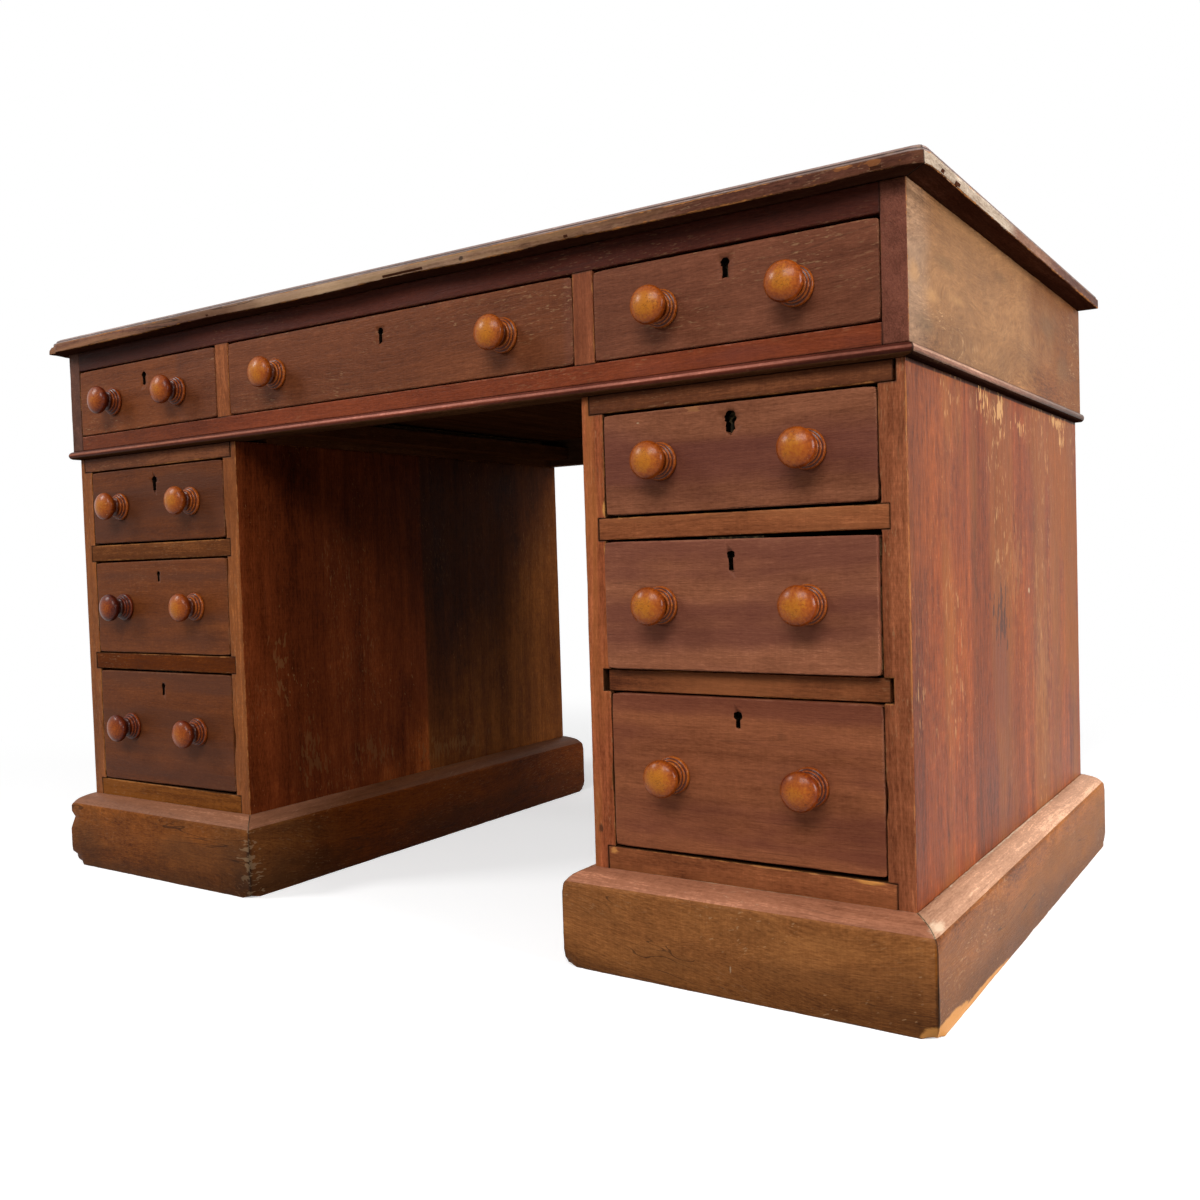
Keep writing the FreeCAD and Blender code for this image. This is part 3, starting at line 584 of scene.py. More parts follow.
def solids(node):
    """Points and faces of each separate solid in a CAD node, in the order they were written."""
    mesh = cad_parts[node].data
    places, merged = {}, []
    for vert in mesh.vertices:
        merged.append(places.setdefault(tuple(round(c, 6) for c in vert.co), len(places)))
    places = np.array(list(places), float)
    found, faces, open_edges = [], [], set()
    for polygon in mesh.polygons:
        ring = [merged[i] for i in polygon.vertices]
        faces.append(ring)
        for a, b in zip(ring, ring[1:] + ring[:1]):
            if (b, a) in open_edges:
                open_edges.discard((b, a))
            else:
                open_edges.add((a, b))
        if not open_edges:
            used = np.unique(np.concatenate(faces))
            number = {int(old): new for new, old in enumerate(used)}
            found.append((places[used], [[number[i] for i in face] for face in faces]))
            faces = []
    return found


def filled_cells(points, faces):
    """Planes that a square-cornered solid lies between on each axis, and which cells between are full."""
    planes = [np.unique(points[:, axis]) for axis in range(3)]
    tree = BVHTree.FromPolygons(points.tolist(), faces)
    full = np.zeros([len(p) - 1 for p in planes], bool)
    way = Vector((0.311, 0.207, 0.928)).normalized()
    for cell in np.ndindex(full.shape):
        place = Vector([(planes[a][i] + planes[a][i + 1]) / 2 for a, i in enumerate(cell)])
        hit = tree.ray_cast(place, way)
        full[cell] = hit[0] is not None and hit[1].dot(way) > 0
    return planes, full


def rulings(planes, step):
    """Places of a board's mesh lines on one axis: close to each plane, then every step."""
    lines = {round(p + way * d, 6) for p in planes for d in ARRIS_LINES for way in (-1, 1)}
    lines = sorted(p for p in lines if planes[0] - 1e-7 <= p <= planes[-1] + 1e-7)
    filled = [lines[0]]
    for after in lines[1:]:
        before = filled[-1]
        parts = max(math.ceil((after - before) / step), 1)
        filled += [before + (after - before) * (i + 1) / parts for i in range(parts)]
    return np.array(filled)


def lattice(planes, full, step):
    """Points and quads of a square-cornered solid, with close mesh lines beside its arrises."""
    lines = [rulings(p, step) for p in planes]
    cells = [np.searchsorted(p, (line[1:] + line[:-1]) / 2) - 1 for p, line in zip(planes, lines)]
    solid = np.pad(full[np.ix_(*cells)], 1).astype(int)
    sizes = [len(line) for line in lines]
    quads = []
    for axis in range(3):
        b, c = (axis + 1) % 3, (axis + 2) % 3
        change = np.diff(solid, axis=axis)
        change = change[tuple(slice(None) if a == axis else slice(1, -1) for a in range(3))]
        for sign, turns in ((-1, ((0, 0), (1, 0), (1, 1), (0, 1))), (1, ((0, 0), (0, 1), (1, 1), (1, 0)))):
            cells = np.argwhere(change == sign)
            corners = []
            for step_b, step_c in turns:
                corner = cells.copy()
                corner[:, b] += step_b
                corner[:, c] += step_c
                corners.append(np.ravel_multi_index(corner.T, sizes))
            quads.append(np.stack(corners, 1))
    used, quads = np.unique(np.concatenate(quads), return_inverse=True)
    grid = np.unravel_index(used, sizes)
    return np.stack([lines[a][grid[a]] for a in range(3)], 1), quads.reshape(-1, 4)


def ripple(points, size, seed):
    """Smooth noise of about -1 to 1 at each point, with waves of this size."""
    shift = Vector((seed * 3.7 % 91, seed * 1.3 % 83, seed * 7.1 % 97))
    return np.array([noise.noise(Vector(p) / size + shift) for p in points])


def facing(points, quads):
    """Unit normal of each quad."""
    normals = np.cross(points[quads[:, 2]] - points[quads[:, 0]], points[quads[:, 3]] - points[quads[:, 1]])
    return normals / np.maximum(np.linalg.norm(normals, axis=1), 1e-12)[:, None]


def spread(points, pairs, starts, reach, rounds=9):
    """One at the starts, falling to nothing at this reach, measured along the mesh."""
    fall = np.linalg.norm(points[pairs[:, 0]] - points[pairs[:, 1]], axis=1) / reach
    value = starts.astype(float)
    for _ in range(rounds):
        there, back = value[pairs[:, 0]] - fall, value[pairs[:, 1]] - fall
        np.maximum.at(value, pairs[:, 1], there)
        np.maximum.at(value, pairs[:, 0], back)
    return np.clip(value, 0, 1)


def rub(points, quads, caps, radius, seed, joint=None, joint_radius=0.00035, splinters=0.0):
    """Rounds every convex arris by an uneven radius, less where it lies in a joint.
    Gives the new points, the wear and the grime."""
    count = len(points)
    normals = np.zeros((count, 3))
    shares = np.zeros(count)
    np.add.at(normals, quads.ravel(), np.repeat(facing(points, quads), 4, axis=0))
    np.add.at(shares, quads.ravel(), 1)
    edges = [quads[:, [i, (i + 1) % 4]] for i in range(4)]
    for cap in caps:
        ring = points[cap]
        normal = np.cross(ring, np.roll(ring, -1, 0)).sum(0)
        normals[cap] += normal / np.linalg.norm(normal)
        shares[cap] += 1
    normals /= shares[:, None]
    pairs = np.unique(np.sort(np.concatenate(edges), 1), axis=0)
    links = np.bincount(pairs.ravel(), minlength=count)
    middle = np.stack([np.bincount(pairs[:, 0], points[pairs[:, 1], a], count)
                       + np.bincount(pairs[:, 1], points[pairs[:, 0], a], count) for a in range(3)], 1)
    middle /= links[:, None]
    size = np.linalg.norm(normals, axis=1)
    fold = np.einsum("ij,ij->i", middle - points, normals)
    creased = size < FLAT_NORMAL
    convex = creased & (fold < 0)
    if joint is None:
        joint = np.zeros(count, bool)
    reach = spread(points, pairs, convex, WEAR_REACH)
    wear = spread(points, pairs, convex & ~joint, WEAR_REACH)
    grime = spread(points, pairs, creased & ((fold > 0) | joint), GRIME_REACH)
    near = np.flatnonzero(reach > 0)
    uneven = 0.80 + 0.60 * ripple(points[near], 0.045, seed) + 0.40 * ripple(points[near], 0.010, seed + 5)
    rounding = np.where(reach[near] > wear[near] + 1e-6, joint_radius, radius) * np.clip(uneven, 0.25, 2)
    if splinters:
        rounding += splinters * np.clip(3 * (ripple(points[near], 0.013, seed + 9) - 0.28), 0, 1)
    distance = (1 - reach[near]) * WEAR_REACH
    turn = math.pi / 4 * (1 + np.clip(distance / np.maximum(rounding, 1e-6), 0, 1))
    drop = np.zeros(count)
    drop[near] = rounding * (1 - np.sin(turn))
    inward = normals / np.maximum(size, 0.3)[:, None] ** 2
    return points - inward * drop[:, None], wear, grime


def dent(points, dents):
    """Pushes the points near each place in, most at its middle. Boards that meet there move as one."""
    for place, size, push in dents:
        away = np.linalg.norm((points - np.array(place)) / np.array(size), axis=1)
        near = np.flatnonzero(away < 1)
        share = (1 - away[near] ** 2) * (1 + 0.35 * ripple(points[near], 0.010, 3))
        points[near] += share[:, None] * np.array(push)
    return points


def grain_places(points, axis, seed):
    """Coordinates with the fibres along the first axis, shifted so that no two boards match."""
    return points[:, GRAIN_ORDER[axis]] + np.array([seed * 0.37 % 3, seed * 0.73 % 5, seed * 0.51 % 7])


def add_object(name, data):
    thing = bpy.data.objects.new(name, data)
    bpy.context.scene.collection.objects.link(thing)
    return thing


def build(name, points, faces, axis, seed, wear, grime, tone):
    mesh = bpy.data.meshes.new(name)
    mesh.from_pydata(points.tolist(), [], faces)
    mesh.update()
    add_facts(mesh, points, axis, seed, wear, grime, tone)
    mesh.polygons.foreach_set("use_smooth", [len(face) <= 4 for face in faces])
    return add_object(name, mesh)


def add_facts(mesh, points, axis, seed, wear, grime, tone):
    """Stores what the materials read: grain coordinates, worn arrises, dirt and the board's own tone."""
    grain = mesh.attributes.new("grain", "FLOAT_VECTOR", "POINT")
    grain.data.foreach_set("vector", grain_places(points, axis, seed).astype(np.float32).ravel())
    for key, values in (("wear", wear), ("grime", grime), ("tone", np.full(len(points), tone))):
        mesh.attributes.new(key, "FLOAT", "POINT").data.foreach_set("value", values.astype(np.float32))


def dress(thing, finishes, choose=None):
    """Gives a piece its materials. choose turns the normals and centres of its faces into their numbers."""
    for finish in finishes:
        thing.data.materials.append(FINISH[finish])
    if choose:
        count = len(thing.data.polygons)
        normals, centres = np.zeros(count * 3), np.zeros(count * 3)
        thing.data.polygons.foreach_get("normal", normals)
        thing.data.polygons.foreach_get("center", centres)
        index = choose(normals.reshape(-1, 3), centres.reshape(-1, 3)).astype(int)
        thing.data.polygons.foreach_set("material_index", index.tolist())
        thing.data.update()


def settle(thing, body, node):
    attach(thing, body)
    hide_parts(node)


# Each board takes the next seed, so its grain and wear are its own
seeds = iter(range(1, 10000))
# Lowest and highest corners of the case's boards, filled before the first is built
CASE_BOXES = []


def extent(solid):
    """Lowest and highest corner of a solid."""
    return solid[0].min(0), solid[0].max(0)


def block(low, high):
    """Planes and cells of a plain box, as a lattice takes them."""
    return [np.array([low[a], high[a]]) for a in range(3)], np.ones((1, 1, 1), bool)


def touching(points, itself):
    """Which points lie on or in the box of another of the case's boards."""
    found = np.zeros(len(points), bool)
    for low, high in CASE_BOXES:
        if not (np.allclose(low, itself[0]) and np.allclose(high, itself[1])):
            found |= np.all((points > low - JOINT_MARGIN) & (points < high + JOINT_MARGIN), axis=1)
    return found


def board(name, node, slot, solid, axis, finishes, choose=None, radius=0.0011, step=0.012, tone=0.0,
          dents=(), shrink=HAIRLINE, joint_radius=0.0005):
    """A worn board with a fine mesh, in place of one square-cornered solid of a CAD node."""
    seed = next(seeds)
    points, quads = lattice(*filled_cells(*solid), step)
    low, high = points.min(0), points.max(0)
    rubbed, wear, grime = rub(points, quads, [], radius, seed, touching(points, (low, high)), joint_radius,
                              BOARD_SPLINTERS)
    rubbed -= np.sign(points - (low + high) / 2) * shrink
    dent(rubbed, dents)
    thing = build(name, rubbed, quads.tolist(), axis, seed, wear, grime, tone)
    dress(thing, finishes, choose)
    settle(thing, "case", node)


def arc(centre, radii, start, end, count):
    """Points of an elliptical arc, with its angles in quarter turns."""
    turns = [math.pi / 2 * (start + (end - start) * i / count) for i in range(count + 1)]
    return [(centre[0] + radii[0] * math.cos(t), centre[1] + radii[1] * math.sin(t)) for t in turns]


def hold_corners(section):
    """Adds points beside the sharp corners of a closed outline, for its arrises to round between."""
    out = []
    count = len(section)
    for i, here in enumerate(section):
        here = np.array(here)
        a, b = np.array(section[i - 1]) - here, np.array(section[(i + 1) % count]) - here
        gap_a, gap_b = np.linalg.norm(a), np.linalg.norm(b)
        sharp = np.dot(a, b) > -0.92 * gap_a * gap_b
        if sharp:
            out += [here + a * d / gap_a for d in ARRIS_LINES[:0:-1] if d < gap_a * 0.45]
        out.append(here)
        if sharp:
            out += [here + b * d / gap_b for d in ARRIS_LINES[1:] if d < gap_b * 0.45]
    return np.array(out)


def run(name, node, slot, section, start, along, inward, mitres, axis, finishes, choose, step, radius,
        dents=(), joint_radius=0.0005, splinters=0.0):
    """A moulding along one edge. The section's points are (set back, height); an end is mitred or square."""
    seed = next(seeds)
    start, along, inward = np.array(start, float), np.array(along, float), np.array(inward, float)
    length = np.linalg.norm(along)
    way = along / length
    stations = rulings(np.array([0.0, length]), step) / length
    depth, height = section[:, 0], section[:, 1]
    first = (depth + MITRE_GAP) * mitres[0]
    last = length - (depth + MITRE_GAP) * mitres[1]
    place = first[None, :] + (last - first)[None, :] * stations[:, None]
    points = start + place[:, :, None] * way + depth[None, :, None] * inward
    points[:, :, 2] += height
    points = points.reshape(-1, 3)
    count = len(section)
    i, j = np.meshgrid(np.arange(len(stations) - 1), np.arange(count), indexing="ij")
    i, j = i.ravel() * count, j.ravel()
    k = (j + 1) % count
    quads = np.stack([i + j, i + k, i + count + k, i + count + j], 1)
    caps = [np.arange(count)[::-1], np.arange(len(points) - count, len(points))]
    if np.cross(way, inward)[2] > 0:
        quads = quads[:, ::-1]
        caps = [cap[::-1] for cap in caps]
    joint = np.tile(depth > depth.max() - 1e-6, len(stations))
    joint[:count] |= mitres[0]
    joint[-count:] |= mitres[1]
    points, wear, grime = rub(points, quads, caps, radius, seed, joint, joint_radius, splinters)
    dent(points, dents)
    faces = quads.tolist() + [cap.tolist() for cap in caps]
    thing = build(name, points, faces, axis, seed, wear, grime, 0.0)
    dress(thing, finishes, choose)
    settle(thing, "case", node)


def three_runs(name, node, slot, front_finishes, side_finishes, **common):
    """A moulding along the front, left and right edges of a node, mitred at the front corners."""
    low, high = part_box(node)
    width, deep = (high.x - low.x, 0, 0), (0, high.y - low.y, 0)
    run(name.format("front"), node, slot, start=low, along=width, inward=BACK, mitres=(True, True), axis="x",
        finishes=front_finishes, **common)
    for side, x, inward in (("left", low.x, RIGHT), ("right", high.x, LEFT)):
        run(name.format(side), node, slot, start=(x, low.y, low.z), along=deep, inward=inward,
            mitres=(True, False), axis="y", finishes=side_finishes, **common)


def undersides(normals, centres):
    return normals[:, 2] < -0.5


# Desk top

def desk_top():
    low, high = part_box("desk_top")
    thick = high.z - low.z
    fillet = TOP_BAND + TOP_FILLET_RISE
    ovolo = arc((TOP_SETBACK + TOP_OVOLO, fillet), (TOP_OVOLO, thick - fillet), 2, 1, 5)
    section = [(0, 0), (0, TOP_BAND / 2), (0, TOP_BAND), (TOP_SETBACK, TOP_BAND)] + ovolo
    section += [(BORDER_WIDTH / 2, thick), (BORDER_WIDTH, thick), (BORDER_WIDTH, 0), (BORDER_WIDTH / 2, 0)]

    def choose(normals, centres):
        upper = (normals[:, 2] > 0.8) & (centres[:, 2] > high.z - 0.001)
        moulded = centres[:, 2] > low.z + TOP_BAND + 0.0005
        return np.where(upper, 1, np.where(normals[:, 2] < -0.45, 2, np.where(moulded, 3, 0)))

    bites = [
        ((high.x, low.y + 0.060, low.z), (0.02, 0.040, 0.007), (-0.0018, 0, 0.0024)),
        ((high.x, low.y + 0.100, low.z), (0.02, 0.016, 0.006), (-0.0014, 0, 0.0018)),
        ((high.x, low.y, low.z + 0.010), (0.014, 0.014, 0.03), (-0.0024, 0.0024, 0)),
        ((high.x - 0.045, low.y, low.z), (0.045, 0.02, 0.006), (0, 0.0014, 0.0018)),
        ((0.28, low.y, low.z), (0.060, 0.02, 0.006), (0, 0.0014, 0.0020)),
        ((0.05, low.y, low.z), (0.090, 0.02, 0.006), (0, 0.0016, 0.0020)),
        ((-0.30, low.y, low.z), (0.120, 0.02, 0.007), (0, 0.0016, 0.0024)),
        ((low.x, low.y, low.z + 0.004), (0.030, 0.030, 0.03), (0.0060, 0.0060, 0)),
        ((low.x, low.y, high.z), (0.035, 0.035, 0.014), (0.0020, 0.0020, -0.0016)),
    ]
    inside = ["top", "under", "moulding"]
    three_runs("desk_top_{}_border", "desk_top", "top_wood", ["edge"] + inside, ["band"] + inside,
               section=hold_corners(section), choose=choose, radius=0.0015, step=0.005, dents=bites,
               splinters=0.0022)
    edges = np.linspace(low.y + BORDER_WIDTH, high.y, TOP_BOARDS + 1)
    for number, (front, back) in enumerate(zip(edges, edges[1:])):
        top_board(f"desk_top_board_{number + 1}", (low.x + BORDER_WIDTH, front, low.z),
                  (high.x - BORDER_WIDTH, back, high.z))


def top_board(name, low, high):
    """One of the boards inside the border. The CAD node holds them as one solid with it."""
    seed = next(seeds)
    points, quads = lattice(*block(low, high), 0.02)
    rubbed, wear, grime = rub(points, quads, [], 0.0004, seed)
    rubbed -= np.sign(points - (np.array(low) + high) / 2) * HAIRLINE
    thing = build(name, rubbed, quads.tolist(), "x", seed, wear * 0, wear * 0.7, 0.0)
    dress(thing, ["top", "under"], undersides)
    settle(thing, "case", "desk_top")


# Frieze

def outer_faces(outside):
    """Takes the second finish on the front edge, the first on the face to this side of x, else the third."""
    def choose(normals, centres):
        return np.where(normals[:, 1] < -0.6, 1, np.where(normals[:, 0] * outside > 0.6, 0, 2))
    return choose


def frieze():
    panels = ("frieze_panels", "frieze_wood")
    for solid in solids("frieze_panels"):
        low, high = extent(solid)
        if high[0] - low[0] > SPANNING:
            board("frieze_back", *panels, solid, "x", ["backboard"], step=0.03)
        else:
            side, outside = ("left", -1) if low[0] < 0 else ("right", 1)
            board(f"frieze_{side}_end", *panels, solid, "y", ["end", "frieze_stile", "carcass"],
                  outer_faces(outside))
    stops = 0
    for solid in solids("frieze_front_frame"):
        low, high = extent(solid)
        where = ("frieze_front_frame", "frieze_wood", solid)
        if high[0] - low[0] > SPANNING:
            lower = low[2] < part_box("frieze_front_frame")[0].z + 0.001
            name, finish = ("bottom", "low_rail") if lower else ("top", "rail")
            board(f"frieze_{name}_rail", *where, "x", [finish])
        elif high[2] - low[2] > UPRIGHT:
            board(f"frieze_{'left' if low[0] < 0 else 'right'}_muntin", *where, "z", ["muntin"])
        else:
            stops += 1
            board(f"frieze_drawer_stop_{stops}", *where, "x", ["carcass"], radius=0.0004)


def frieze_bead():
    nose = BEAD_HEIGHT / 2
    inner = BEAD_PROJECTION + END_THICKNESS
    section = arc((BEAD_PROJECTION, nose), (BEAD_PROJECTION, nose), 3, 1, 10)
    section = hold_corners(section + [(inner, BEAD_HEIGHT), (inner, 0)])
    # The undersides take dark finishes, carcass at the front and a near-black one at the sides, which paint
    # the shade under the bead.
    three_runs("frieze_{}_bead", "frieze_bead", "frieze_wood", ["front_bead", "carcass"],
               ["bead", "bead_painted_shade"], section=section, choose=undersides, step=0.01, radius=0.0005)


# Pedestals

RAIL_TONES = {("right", "top"): -0.8, ("left", "top"): 1.0, ("right", "lower_middle"): -2.0,
              ("right", "bottom"): 0.8, ("left", "bottom"): 1.8}


def pedestal_rails(side):
    node = f"{side}_pedestal_rails"
    upwards = sorted(solids(node), key=lambda solid: extent(solid)[0][2])
    for name, solid in zip(("bottom", "lower_middle", "upper_middle", "top"), upwards):
        low, high = extent(solid)
        finish, dents = ("mid_rail" if side == "right" else "left_rail"), ()
        if name == "top":
            finish = "top_rail"
            dents = [((high[0], low[1], (low[2] + high[2]) / 2), (0.006, 0.03, 0.02), (-0.0026, 0, 0))]
        board(f"{side}_pedestal_{name}_rail", node, "rail_wood", solid, "x", [finish, "carcass"],
              lambda normals, centres: np.abs(normals[:, 2]) > 0.6, step=0.010, radius=0.0010,
              tone=RAIL_TONES.get((side, name), 0.0), dents=dents, shrink=0.0004, joint_radius=0.0008)


def pedestal_sides(side):
    node = f"{side}_pedestal_sides"
    stile = "stile" if side == "right" else "left_stile"
    sides = sorted(solids(node), key=lambda solid: extent(solid)[0][0])
    for hand, outside, solid in zip(("left", "right"), (-1, 1), sides):
        place, face = ("outer", "side") if hand == side else ("inner", "inner")
        low, high = extent(solid)
        corner = (high[0] if hand == "left" else low[0], low[1])
        dents = [((*corner, z), (0.005, 0.006, size), (0.0016 * outside, 0.0008, 0))
                 for z, size in ((0.474, 0.011), (0.431, 0.012), (0.200, 0.020), (0.117, 0.007))]
        board(f"{side}_pedestal_{place}_side", node, "pedestal_wood", solid, "z", [face, stile, "carcass"],
              outer_faces(outside), step=0.014, radius=0.0014, dents=dents, joint_radius=0.0007)


def pedestal_boards(side):
    node = f"{side}_pedestal_boards"
    for solid in solids(node):
        low, high = extent(solid)
        if high[2] - low[2] > UPRIGHT:
            board(f"{side}_pedestal_back", node, "lining_wood", solid, "z", ["backboard"], step=0.03)
        else:
            name = "dust" if low[2] > DUST_BOARD_ABOVE else "bottom"
            board(f"{side}_pedestal_{name}_board", node, "lining_wood", solid, "y", ["carcass"], step=0.04)


def plinth_section(wall, arris):
    """Outline of a plinth board: a flat face, a rounded nose and a crowned slope up to the pedestal."""
    slope = [(wall * t, arris + PLINTH_SLOPE * t + PLINTH_CROWN * 4 * t * (1 - t))
             for t in (1 / 3, 1 / 2, 2 / 3, 5 / 6, 1)]
    flat = arris - PLINTH_ROUND
    bend = list(zip((0, flat), (0, arris), slope[0]))
    nose = [tuple(a * (1 - t) ** 2 + 2 * b * t * (1 - t) + c * t * t for a, b, c in bend)
            for t in (0, 0.15, 0.3, 0.45, 0.6, 0.8)]
    return hold_corners([(0, flat * i / 10) for i in range(10)] + nose + slope + [(wall, 0)])


def plinth_bites(side, low, high, arris, corners):
    """Bruises at the foot and the nose of each corner. The desk's left front corner has lost the most."""
    middle = (low + high) / 2
    bites = []
    for x, y in corners:
        across, back = math.copysign(1, middle.x - x), math.copysign(1, middle.y - y)
        foot = (0.015, 0.0028, 0.0024)
        if side == "left" and x == low.x and y == low.y:
            foot = (0.026, 0.0055, 0.0060)
        for z, (size, depth, lift) in ((low.z, foot), (low.z + arris, (0.012, 0.0011, -0.0005))):
            bites.append(((x, y, z), (size, size, size * 0.7), (across * depth, back * depth, lift)))
    if side == "left":
        bites.append(((low.x, low.y, low.z + arris * 0.76), (0.022, 0.022, 0.011), (0.0050, 0.0035, 0)))
    return bites


def plinth(side):
    node = f"{side}_plinth"
    low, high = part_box(node)
    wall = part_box(f"{side}_pedestal_sides")[0].x - low.x
    arris = high.z - low.z - PLINTH_SLOPE
    section = plinth_section(wall, arris)
    corners = [(low.x, low.y), (high.x, low.y), (high.x, high.y), (low.x, high.y)]
    bites = plinth_bites(side, low, high, arris, corners)
    finishes = ["plinth", "slope"] if side == "right" else ["left_plinth", "left_slope"]
    ways = (("front", BACK, "x"), ("right", LEFT, "y"), ("back", FRONT, "x"), ("left", RIGHT, "y"))

    def choose(normals, centres):
        return centres[:, 2] > low.z + arris + 0.0002

    for (name, inward, axis), a, b in zip(ways, corners, corners[1:] + corners[:1]):
        run(f"{side}_plinth_{name}", node, "plinth_wood", section, (*a, low.z), (b[0] - a[0], b[1] - a[1], 0),
            inward, (True, True), axis, finishes, choose, step=0.006, radius=0.0022, joint_radius=0.0009,
            dents=bites, splinters=0.0016)


# Drawers

def keyhole_outline(head, slot, height, ragged, seed):
    """Outline of a keyhole in (x, z) from the middle of its head, worn uneven."""
    bend = math.asin(min(slot / 2 / head, 1))
    turns = np.linspace(-math.pi / 2 + bend, math.pi * 3 / 2 - bend, 15)
    points = [(head * math.cos(t), head * math.sin(t)) for t in turns]
    neck = head * math.sin(turns[0])
    foot = head - height
    points += [(-slot / 2, neck + (foot - neck) * share) for share in (0.35, 0.7, 1.0)]
    points += [(0, foot - ragged)]
    points += [(slot / 2, neck + (foot - neck) * share) for share in (1.0, 0.7, 0.35)]
    out = []
    for x, z in points:
        push = 1 + ragged / head * (0.5 + noise.noise(Vector((x * 900, seed * 2.3, z * 900))))
        out.append((x * push, z * push))
    return out


def cutter(name, points, faces, reach=0.0):
    """A closed solid to cut with, grown a little. The piece that uses it deletes it."""
    mesh = bmesh.new()
    verts = [mesh.verts.new(p) for p in points]
    for face in faces:
        mesh.faces.new([verts[i] for i in face])
    bmesh.ops.recalc_face_normals(mesh, faces=mesh.faces)
    mesh.normal_update()
    shifts = []
    for vert in mesh.verts:
        ways = []
        for face in vert.link_faces:
            if not any(face.normal.dot(way) > 0.99 for way in ways):
                ways.append(face.normal.copy())
        shifts.append(sum(ways, Vector()) * reach)
    for vert, shift in zip(mesh.verts, shifts):
        vert.co += shift
    return mesh_object(name, mesh)


def mesh_object(name, mesh):
    data = bpy.data.meshes.new(name)
    mesh.to_mesh(data)
    mesh.free()
    return add_object(name, data)


def prism(name, outline, centre, front, back):
    """A cutter with this (x, z) outline about a centre, from one depth to another."""
    count = len(outline)
    points = [(centre.x + x, y, centre.z + z) for y in (front, back) for x, z in outline]
    sides = [(i, (i + 1) % count, count + (i + 1) % count, count + i) for i in range(count)]
    return cutter(name, points, [tuple(range(count)), tuple(range(count, 2 * count))] + sides)


def carve(thing, cutters, axis, seed, tone):
    """Cuts the cutters out of a piece and deletes them. Its wear is read again from the old points."""
    old = thing.data
    tree = kdtree.KDTree(len(old.vertices))
    for vert in old.vertices:
        tree.insert(vert.co, vert.index)
    tree.balance()
    values = {}
    for key in ("wear", "grime"):
        values[key] = np.zeros(len(old.vertices), np.float32)
        old.attributes[key].data.foreach_get("value", values[key])
    for blade in cutters:
        modifier = thing.modifiers.new("cut", "BOOLEAN")
        modifier.operation = "DIFFERENCE"
        modifier.solver = "MANIFOLD"
        modifier.object = blade
    new = bpy.data.meshes.new_from_object(thing.evaluated_get(bpy.context.evaluated_depsgraph_get()))
    thing.modifiers.clear()
    for key in ("grain", "wear", "grime", "tone"):
        if key in new.attributes:
            new.attributes.remove(new.attributes[key])
    new.materials.clear()
    thing.data = new
    nearest = [tree.find(vert.co)[1] for vert in new.vertices]
    places = np.array([vert.co for vert in new.vertices])
    add_facts(new, places, axis, seed, values["wear"][nearest], values["grime"][nearest], tone)
    for blade in cutters:
        bpy.data.objects.remove(blade)


# Drop of its top below the drawer's top edge, head radius, slot width, height and raggedness of each keyhole
KEYHOLES = {
    "left_frieze": (0.0165, 0.0040, 0.0052, 0.0155, 0.0008),
    "centre_frieze": (0.0175, 0.0038, 0.0046, 0.0155, 0.0008),
    "right_frieze": (0.0125, 0.0042, 0.0056, 0.0160, 0.0010),
    "left_upper": (0.0145, 0.0044, 0.0058, 0.0165, 0.0016),
    "left_middle": (0.0165, 0.0030, 0.0036, 0.0125, 0.0005),
    "left_lower": (0.0165, 0.0034, 0.0042, 0.0150, 0.0008),
    "right_upper": (0.0105, 0.0054, 0.0078, 0.0160, 0.0020),
    "right_middle": (0.0140, 0.0036, 0.0044, 0.0165, 0.0010),
    "right_lower": (0.0130, 0.0042, 0.0042, 0.0150, 0.0006),
}
# How far the worn front is short of its opening: top left, top right, bottom left, bottom right
SHRINKAGE = {
    "left_frieze": (0.0012, 0.0010, 0.0003, 0.0006),
    "centre_frieze": (0.0012, 0.0014, 0.0004, 0.0006),
    "right_frieze": (0.0016, 0.0020, 0.0004, 0.0010),
    "left_upper": (0.0008, 0.0010, 0.0014, 0.0012),
    "left_middle": (0.0016, 0.0008, 0.0004, 0.0004),
    "left_lower": (0.0018, 0.0012, 0.0004, 0.0030),
    "right_upper": (0.0014, 0.0012, 0.0012, 0.0016),
    "right_middle": (0.0008, 0.0036, 0.0004, 0.0004),
    "right_lower": (0.0004, 0.0004, 0.0012, 0.0032),
}


DRAWER_TONES = {"right_upper": -1.2, "right_middle": 1.2, "left_upper": -0.8, "left_middle": 0.8}


def shrink_front(points, low, high, top_left, top_right, bottom_left, bottom_right):
    """Draws the top edge of a front down and its bottom edge up, by so much at each end."""
    share = (points[:, 0] - low.x) / (high.x - low.x)
    rise = np.clip((points[:, 2] - (low.z + high.z) / 2) / ((high.z - low.z) / 2), -1, 1)
    points[:, 2] -= np.maximum(rise, 0) * (top_left + (top_right - top_left) * share)
    points[:, 2] -= np.minimum(rise, 0) * (bottom_left + (bottom_right - bottom_left) * share)


def front_cutters(name, keyhole, middle, low, high):
    """What is cut out of a drawer front: the keyhole, the lock's seat and the joints of the box."""
    cutters = [prism(name + "_keyhole", keyhole, middle, low.y - 0.003, high.y + 0.001)]
    seat_low, seat_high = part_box(f"{name}_drawer_lock")
    seat = (seat_low + seat_high) / 2
    half = seat - seat_low + Vector((SEAT_PLAY, SEAT_PLAY, SEAT_PLAY))
    outline = [(-half.x, -half.z), (half.x, -half.z), (half.x, half.z), (-half.x, half.z)]
    cutters.append(prism(name + "_lock_seat", outline, seat, seat.y - half.y, seat.y + half.y))
    for solid in solids(f"{name}_drawer_box"):
        if extent(solid)[0][1] < high.y:
            cutters.append(cutter(name + "_joint", *solid, HAIRLINE))
    return cutters


